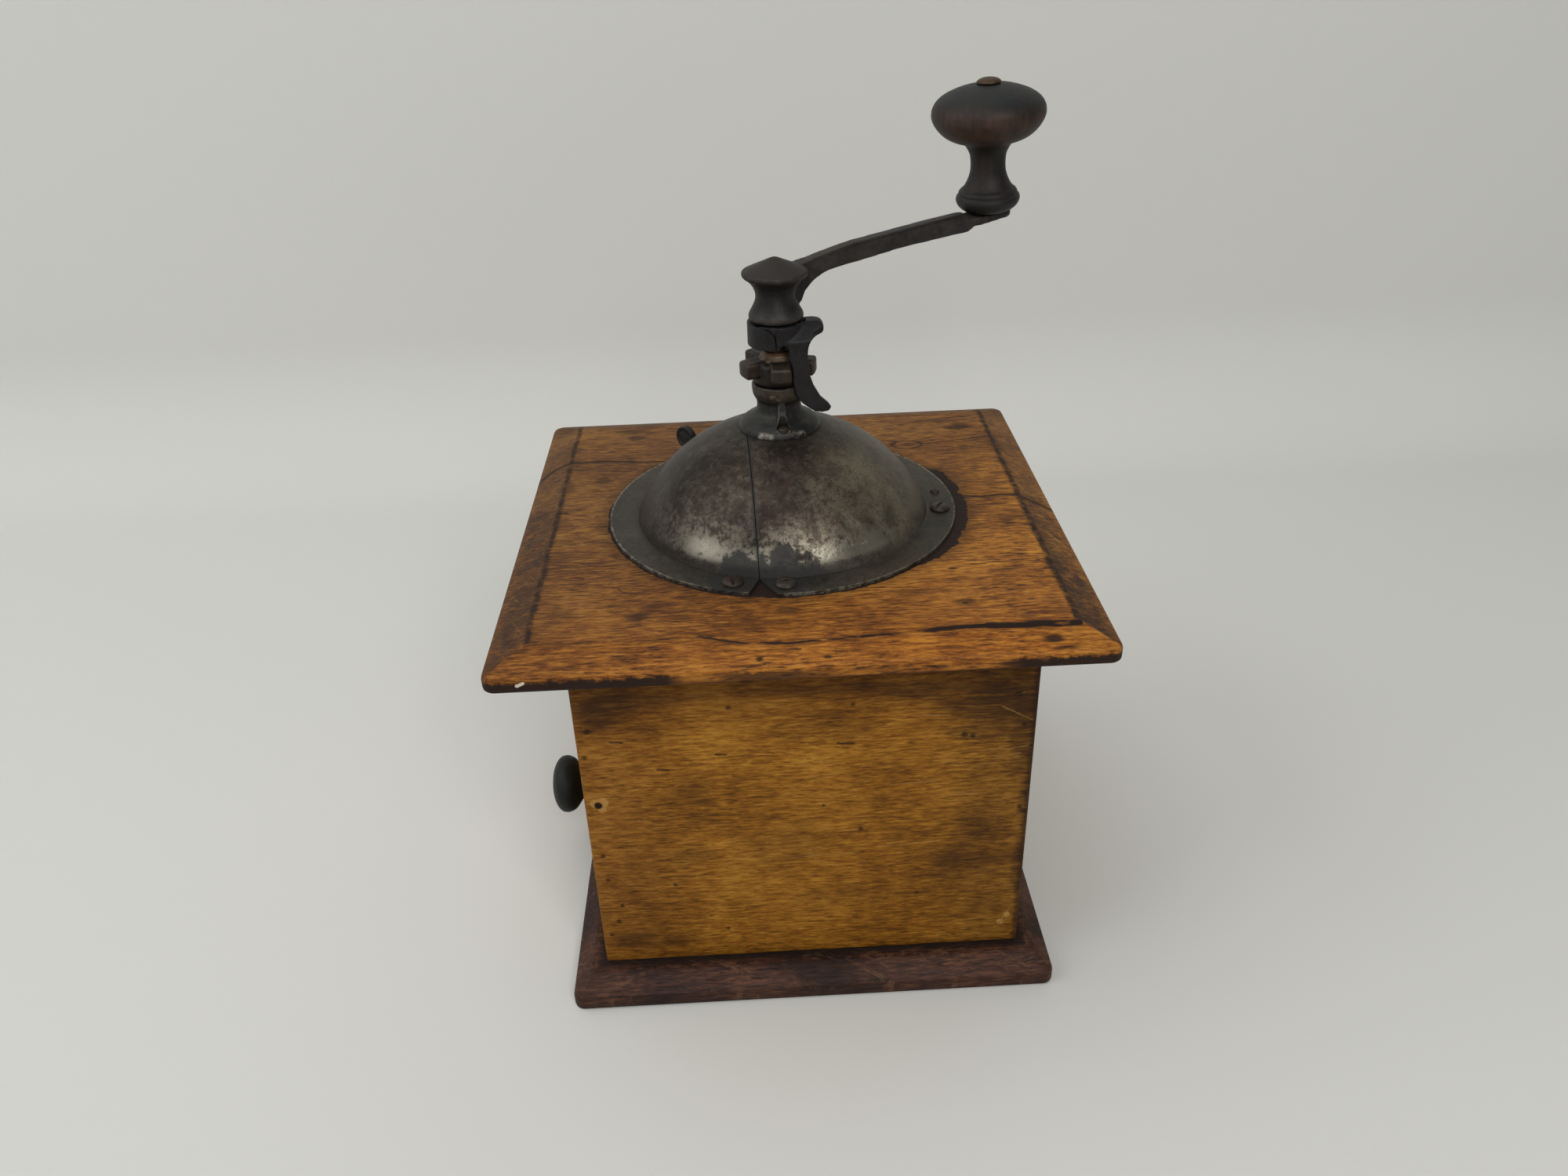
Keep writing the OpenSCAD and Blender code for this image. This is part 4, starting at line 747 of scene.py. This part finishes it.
def smooth_by_angle(o, deg=32):
    """Marks sharp edges so that rounds look round and corners stay crisp."""
    bm = bmesh.new()
    bm.from_mesh(o.data)
    lim = math.radians(deg)
    for ed in bm.edges:
        ed.smooth = not (len(ed.link_faces) == 2 and ed.calc_face_angle(0) > lim) and len(ed.link_faces) == 2
    bm.to_mesh(o.data)
    bm.free()


def take(obj, node, slot=None, body=None, mat=None):
    """obj stands for a CAD node: same body and slot, and its own or the slot's material."""
    scene.collection.objects.link(obj) if obj.name not in scene.collection.objects else None
    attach(obj, body or body_of_node[node])
    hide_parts(node)
    obj.data.materials.clear()
    obj.data.materials.append(M[mat or slot or SLOT[node]])
    return obj


def evaluated(o):
    """The object's mesh with its modifiers, as a new mesh and an array of its points."""
    bpy.context.view_layer.update()
    me = bpy.data.meshes.new_from_object(o.evaluated_get(bpy.context.evaluated_depsgraph_get()))
    co = np.zeros(len(me.vertices) * 3)
    me.vertices.foreach_get("co", co)
    return me, co.reshape(-1, 3)


def catmull(points, per=6):
    """A smooth curve through the profile's points."""
    pts = [np.array(p, float) for p in points]
    pts = [2 * pts[0] - pts[1]] + pts + [2 * pts[-1] - pts[-2]]
    out = []
    for i in range(1, len(pts) - 2):
        p0, p1, p2, p3 = pts[i - 1 : i + 3]
        for k in range(per):
            t = k / per
            out.append(0.5 * ((2 * p1) + (-p0 + p2) * t + (2 * p0 - 5 * p1 + 4 * p2 - p3) * t * t + (-p0 + 3 * p1 - 3 * p2 + p3) * t**3))
    out.append(pts[-2])
    return out


def worn(node, name, voxel, iters=6, lump=0.0, lump_scale=300.0, mat=None, soft=0, where=None, wide=26, shape=None):
    """A casting made from the CAD solid: remeshed finely, its edges rounded by smoothing, with slight unevenness.
    where(points) says how much of the stronger smoothing 'soft' each point takes; 'edge' keeps how far a point stands out, in mm."""
    o = bpy.data.objects.new(name, nodes[node].data.copy())
    scene.collection.objects.link(o)
    md = o.modifiers.new("r", "REMESH")
    md.mode, md.voxel_size, md.use_smooth_shade = "VOXEL", voxel * MM, True
    sm = o.modifiers.new("s", "SMOOTH")
    sm.factor, sm.iterations = 0.5, iters
    new, co = evaluated(o)
    if soft:
        sm.iterations = soft
        more = evaluated(o)[1]
        w = where(co / MM)[:, None]
        co = co * (1 - w) + more * w
    sm.iterations = iters + wide
    far = evaluated(o)[1]
    if shape:
        moved = shape(co / MM) * MM
        far = far + (moved - co)
        co = moved
    o.modifiers.clear()
    o.data = new
    new.vertices.foreach_set("co", co.ravel())
    new.update()
    no = np.zeros(len(new.vertices) * 3)
    new.vertices.foreach_get("normal", no)
    no = no.reshape(-1, 3)
    stands = ((co - far) * no).sum(1) / MM
    at = new.attributes.new("edge", "FLOAT", "POINT")
    at.data.foreach_set("value", stands.astype(np.float32))
    if lump:
        h = np.array([noise.noise(Vector(c) * lump_scale) for c in co])
        co = co + no * (h * lump * MM)[:, None]
        new.vertices.foreach_set("co", co.ravel())
        new.update()
    return take(o, node, mat=mat)


def ramp_between(v, lo, hi):
    t = np.clip((v - lo) / (hi - lo), 0, 1)
    return t * t * (3 - 2 * t)


def beyond_hub(p):
    rad = np.hypot(p[:, 0] - AX, p[:, 1])
    return ramp_between(rad, 9.0, 12.0) * (1 - 0.8 * ramp_between(rad, 60, 66))


ARM_TOP = [(3, 192.6), (7.2, 193.3), (14.2, 194.3), (23.7, 195.4), (29.5, 195.7), (40.3, 196.0), (49, 196.3), (58, 196.5), (64, 196.5), (67, 196.25)]
ARM_LOW = [(3, 182.2), (6.6, 183.3), (8.7, 186.4), (13.2, 188.9), (18.5, 189.95), (29.5, 190.4), (43.3, 191.1), (60, 191.1), (67, 191.2)]


def bow_arm(p):
    """Lays the arm's straight stretches on smooth curves through the same points."""
    a = math.radians(34)
    x, y = p[:, 0] - AX, p[:, 1]
    u, t, z = x * math.cos(a) + y * math.sin(a), -x * math.sin(a) + y * math.cos(a), p[:, 2]
    rad = np.hypot(x, y)
    line = [np.interp(u, *np.array(q, float).T) for q in (ARM_LOW, ARM_TOP)]
    curve = [np.interp(u, *np.array(catmull(q, 8), float).T) for q in (ARM_LOW, ARM_TOP)]
    k = (z - line[0]) / np.maximum(line[1] - line[0], 0.1)
    new = curve[0] + k * (curve[1] - curve[0])
    w = np.where(z < 189.5, ramp_between(rad, 6.0, 7.4), ramp_between(rad, 9.2, 10.6)) * (np.abs(t) < 3.2) * (u > 3) * (1 - ramp_between(u, 61, 66))
    out = p.copy()
    out[:, 2] = z + (new - z) * w
    return out


def latch_block(p):
    return ramp_between(p[:, 2], 171.0, 173.5) * ramp_between(p[:, 0] - AX, 0.6, 3.0)


# castings of the spindle head
worn("crank_arm", "crank_arm_casting", 0.26, 7, 0.05, 260, "arm_iron", 64, beyond_hub, shape=bow_arm)
worn("latch", "latch_casting", 0.17, 11, 0.04, 400, "latch_iron", 40, latch_block)
worn("collar", "collar_casting", 0.16, 6, 0.03, 400, "latch_iron")
worn("adjusting_nut", "star_nut", 0.18, 15, 0.10, 420, "nut_iron")
worn("neck_casting", "neck_cast", 0.24, 5, 0.05, 400, "neck_iron")
worn("dome_screws", "flange_screws", 0.12, 2, 0.03, 900)
worn("shutter_tab", "finger_tab", 0.15, 4, 0.03, 500)


def lathe(name, rings, origin, axis="z", seg=96):
    """A turned solid from [(radius, height)] in mm, closed on its own bore or axis. axis 'z', or '-x' for a piece turned along -X."""
    bm = bmesh.new()
    loops = []
    for r, h in rings:
        loop = []
        for i in range(seg):
            a = 2 * math.pi * i / seg
            if axis == "z":
                p = (origin[0] + r * math.cos(a), origin[1] + r * math.sin(a), origin[2] + h)
            else:
                p = (origin[0] - h, origin[1] + r * math.cos(a), origin[2] - r * math.sin(a))
            loop.append(bm.verts.new(Vector(p) * MM))
        loops.append(loop)
    for a, b in zip(loops, loops[1:]):
        for i in range(seg):
            bm.faces.new((a[i], a[(i + 1) % seg], b[(i + 1) % seg], b[i]))
    bm.faces.new(list(reversed(loops[0])))
    bm.faces.new(loops[-1])
    bmesh.ops.recalc_face_normals(bm, faces=bm.faces)
    me = bpy.data.meshes.new(name)
    bm.to_mesh(me)
    bm.free()
    me.polygons.foreach_set("use_smooth", [True] * len(me.polygons))
    o = bpy.data.objects.new(name, me)
    scene.collection.objects.link(o)
    smooth_by_angle(o, 40)
    return o


# the turned knobs
az = math.radians(34)
KX, KY = AX + 76.5 * math.cos(az), 76.5 * math.sin(az)
foot = catmull([(6.2, 195.93), (7.4, 196.5), (8.45, 197.45), (9.0, 198.55), (9.08, 199.3), (8.85, 200.05), (8.45, 200.45)], 5)
ringlet = catmull([(8.3, 200.6), (8.33, 200.85), (8.25, 201.2), (7.8, 201.75)], 4)
waist = catmull([(7.5, 201.95), (7.15, 202.2), (6.45, 203.15), (5.75, 204.55), (5.1, 206.5), (4.9, 208.8), (5.15, 211.4), (6.05, 213.35), (6.95, 214.55)], 5)
cap = catmull([(7.3, 214.72), (8.6, 215.1), (10.75, 215.9), (12.45, 216.92), (13.85, 218.22), (15.05, 219.85), (15.7, 221.35), (15.85, 222.5), (15.55, 224.15), (14.35, 225.95), (12.05, 227.55), (8.55, 228.93), (5.55, 229.65), (3.0, 230.02)], 5)
prof = [(2.28, 195.92)] + [tuple(p) for p in foot] + [tuple(p) for p in ringlet] + [tuple(p) for p in waist] + [tuple(p) for p in cap] + [(2.28, 230.08)]
lean = Matrix.Translation(Vector((KX, KY, 194)) * MM) @ Matrix.Rotation(az, 4, "Z") @ Matrix.Rotation(math.radians(-3.6), 4, "Y") @ Matrix.Translation(Vector((0, 0, -194)) * MM)


def leaned(o):
    """Turns a piece drawn upright on the origin into the leaning knob's place."""
    o.data.transform(lean)
    o.data.update()
    return o


def lathe_ring(name, profile, origin, axis="z", seg=96):
    """A turned piece with a bore: the profile is a closed loop of (radius, height)."""
    bm = bmesh.new()
    loops = []
    for r, h in profile:
        loop = []
        for i in range(seg):
            a = 2 * math.pi * i / seg
            loop.append(bm.verts.new(Vector((origin[0] + r * math.cos(a), origin[1] + r * math.sin(a), origin[2] + h)) * MM))
        loops.append(loop)
    n = len(loops)
    for k in range(n):
        a, b = loops[k], loops[(k + 1) % n]
        for i in range(seg):
            bm.faces.new((a[i], a[(i + 1) % seg], b[(i + 1) % seg], b[i]))
    bmesh.ops.recalc_face_normals(bm, faces=bm.faces)
    me = bpy.data.meshes.new(name)
    bm.to_mesh(me)
    bm.free()
    me.polygons.foreach_set("use_smooth", [True] * len(me.polygons))
    o = bpy.data.objects.new(name, me)
    scene.collection.objects.link(o)
    smooth_by_angle(o, 40)
    return o


take(leaned(lathe_ring("turned_knob", prof, (0, 0, 0))), "crank_knob")
rivet = [(0.3, 193.41), (3.0, 193.42), (3.07, 193.62), (2.2, 194.32), (2.2, 230.2)] + [tuple(p) for p in catmull([(3.2, 230.21), (3.37, 230.35), (3.32, 230.65), (2.85, 231.05), (2.05, 231.38), (1.0, 231.57), (0.3, 231.62)], 4)]
take(leaned(lathe("rivet_shank", rivet, (0, 0, 0), "z", 64)), "knob_rivet")
dk = [(0.4, 0.0), (4.5, 0.02)] + [tuple(p) for p in catmull([(4.65, 0.6), (4.4, 1.5), (3.8, 2.4), (3.5, 4.2), (3.8, 7.0), (4.6, 9.4), (6.4, 10.8), (8.2, 12.2), (9.05, 13.8), (9.2, 15.1), (8.8, 16.5), (7.4, 17.8), (5.2, 18.75), (2.6, 19.2), (0.4, 19.28)], 4)]
take(lathe("turned_drawer_knob", dk, (-61, 0, 27.2), "-x", 72), "drawer_knob")


# ------------------------------------------------------------------ boards
def ring_pts(x0, x1, y0, y1, r, seg=6):
    pts = []
    for cx, cy, a0 in ((x1 - r, y0 + r, -90), (x1 - r, y1 - r, 0), (x0 + r, y1 - r, 90), (x0 + r, y0 + r, 180)):
        for k in range(seg + 1):
            a = math.radians(a0 + 90 * k / seg)
            pts.append((cx + r * math.cos(a), cy + r * math.sin(a)))
    return pts


def board(name, x0, x1, y0, y1, profile, r=3.0, hole=None):
    """A moulded board: profile is [(inset, z)] from the underside up to the top; hole is (x, y, radius)."""
    bm = bmesh.new()
    loops = []
    for inset, z in profile:
        rr = max(r - inset * 0.5, 0.8)
        pts = ring_pts(x0 + inset, x1 - inset, y0 + inset, y1 - inset, rr)
        loops.append([bm.verts.new(Vector((px, py, z)) * MM) for px, py in pts])
    n = len(loops[0])
    for a, b in zip(loops, loops[1:]):
        for i in range(n):
            bm.faces.new((a[i], a[(i + 1) % n], b[(i + 1) % n], b[i]))
    holes = []
    if hole:
        for z in (profile[0][1], profile[-1][1]):
            holes.append([bm.verts.new(Vector((hole[0] + hole[2] * math.cos(2 * math.pi * k / 64), hole[1] + hole[2] * math.sin(2 * math.pi * k / 64), z)) * MM) for k in range(64)])
        for i in range(64):
            bm.faces.new((holes[0][i], holes[1][i], holes[1][(i + 1) % 64], holes[0][(i + 1) % 64]))
    for side in (0, -1):
        if hole:
            ed = [bm.edges.get((loops[side][i], loops[side][(i + 1) % n])) for i in range(n)]
            h = holes[side]
            ed += [bm.edges.get((h[i], h[(i + 1) % 64])) for i in range(64)]
            bmesh.ops.triangle_fill(bm, edges=ed, use_beauty=True)
        else:
            bm.faces.new(loops[side])
    bmesh.ops.recalc_face_normals(bm, faces=bm.faces)
    me = bpy.data.meshes.new(name)
    bm.to_mesh(me)
    bm.free()
    me.polygons.foreach_set("use_smooth", [True] * len(me.polygons))
    o = bpy.data.objects.new(name, me)
    scene.collection.objects.link(o)
    smooth_by_angle(o, 25)
    return o


deck_prof = [(0.9, 116.5), (0.35, 116.65), (0.08, 117.0), (0.0, 117.5), (0.0, 119.6), (0.12, 120.2), (0.5, 120.75), (1.2, 121.15), (5.0, 122.35), (8.6, 123.4), (9.3, 123.6), (10.2, 123.7)]
take(board("deck_board", -77.3, 75.3, -75.8, 75.2, deck_prof, 3.0, (AX, 0, 30.0)), "deck")
base_prof = [(1.2, 0.0), (0.5, 0.15), (0.12, 0.6), (0.0, 1.2), (0.0, 4.1), (0.15, 4.8), (0.6, 5.35), (3.2, 7.2), (5.0, 8.6), (5.7, 8.95), (6.4, 9.0)]
take(board("foot_board", -69.5, 69.5, -69.5, 69.5, base_prof, 3.0), "base_board")


def plank(node, name, bevel=0.7, mat=None):
    """A plain board: the CAD solid's box with rounded arrises."""
    lo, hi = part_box(node)
    bm = bmesh.new()
    v = [bm.verts.new((x, y, z)) for x in (lo.x, hi.x) for y in (lo.y, hi.y) for z in (lo.z, hi.z)]
    for f in ((0, 1, 3, 2), (4, 6, 7, 5), (0, 4, 5, 1), (2, 3, 7, 6), (0, 2, 6, 4), (1, 5, 7, 3)):
        bm.faces.new([v[i] for i in f])
    bmesh.ops.recalc_face_normals(bm, faces=bm.faces)
    bmesh.ops.bevel(bm, geom=list(bm.edges), offset=bevel * MM, segments=3, profile=0.5, affect="EDGES")
    me = bpy.data.meshes.new(name)
    bm.to_mesh(me)
    bm.free()
    me.polygons.foreach_set("use_smooth", [True] * len(me.polygons))
    o = bpy.data.objects.new(name, me)
    scene.collection.objects.link(o)
    smooth_by_angle(o, 35)
    return take(o, node, mat=mat)


plank("side_panel_near", "near_panel", 0.7)
plank("side_panel_far", "far_panel", 0.7)
plank("end_panel", "end_board", 0.25, "panel_wood_y")
plank("front_rail", "front_board", 0.5, "panel_wood_y")
plank("drawer_front", "drawer_face", 0.6, "panel_wood_y")
for n in ("drawer_side_near", "drawer_side_far", "drawer_back", "drawer_bottom"):
    plank(n, n + "_board", 0.4, "drawer_wood_y" if n == "drawer_back" else None)

for n, o in nodes.items():
    if not o.hide_render:
        fl = [True] * len(o.data.polygons)
        o.data.polygons.foreach_set("use_smooth", fl)

# ------------------------------------------------------------------ stage and light
fm = Graph("cloth_floor")
fm.set(Base_Color=(0.70, 0.70, 0.668), Roughness=0.9, Normal=fm.bump(fm.noise(None, 900.0, 3), 0.08, 0.0004))
bm = bmesh.new()
prof_f = [(-1.6, 0.0), (0.26, 0.0)]
for k in range(1, 13):
    a = math.radians(90 * k / 12)
    prof_f.append((0.26 + 0.07 * math.sin(a), 0.07 * (1 - math.cos(a))))
prof_f.append((0.34, 1.8))
prev = None
for y, z in prof_f:
    cur = (bm.verts.new((-2.2, y, z)), bm.verts.new((2.2, y, z)))
    if prev:
        bm.faces.new((prev[0], prev[1], cur[1], cur[0]))
    prev = cur
me = bpy.data.meshes.new("floor")
bm.to_mesh(me)
bm.free()
me.polygons.foreach_set("use_smooth", [True] * len(me.polygons))
floor = bpy.data.objects.new("floor", me)
floor.data.materials.append(fm.mat)
scene.collection.objects.link(floor)


def area(name, loc, target, size, power, col=(1, 1, 1)):
    d = bpy.data.lights.new(name, "AREA")
    d.shape, d.size, d.size_y = "RECTANGLE", size[0], size[1]
    d.energy, d.color = power, col
    o = bpy.data.objects.new(name, d)
    scene.collection.objects.link(o)
    o.location = loc
    o.rotation_mode = "QUATERNION"
    o.rotation_quaternion = (Vector(target) - Vector(loc)).to_track_quat("-Z", "Y")


area("key", (0.22, -1.02, 0.95), (0, 0, 0.1), (0.7, 0.5), 8.4, (1.0, 0.985, 0.96))
area("fill", (-1.1, -0.3, 0.9), (0, 0, 0.1), (1.0, 0.9), 5.8, (0.98, 0.99, 1.0))
area("top", (-0.35, 0.0, 1.5), (-0.15, 0.15, 0.1), (1.2, 1.0), 4.4, (1.0, 1.0, 1.0))
world = bpy.data.worlds.new("world")
scene.world = world
world.use_nodes = True
world.node_tree.nodes["Background"].inputs[0].default_value = (0.97, 0.985, 1.0, 1)
world.node_tree.nodes["Background"].inputs[1].default_value = 0.16
scene.view_settings.view_transform = "Standard"
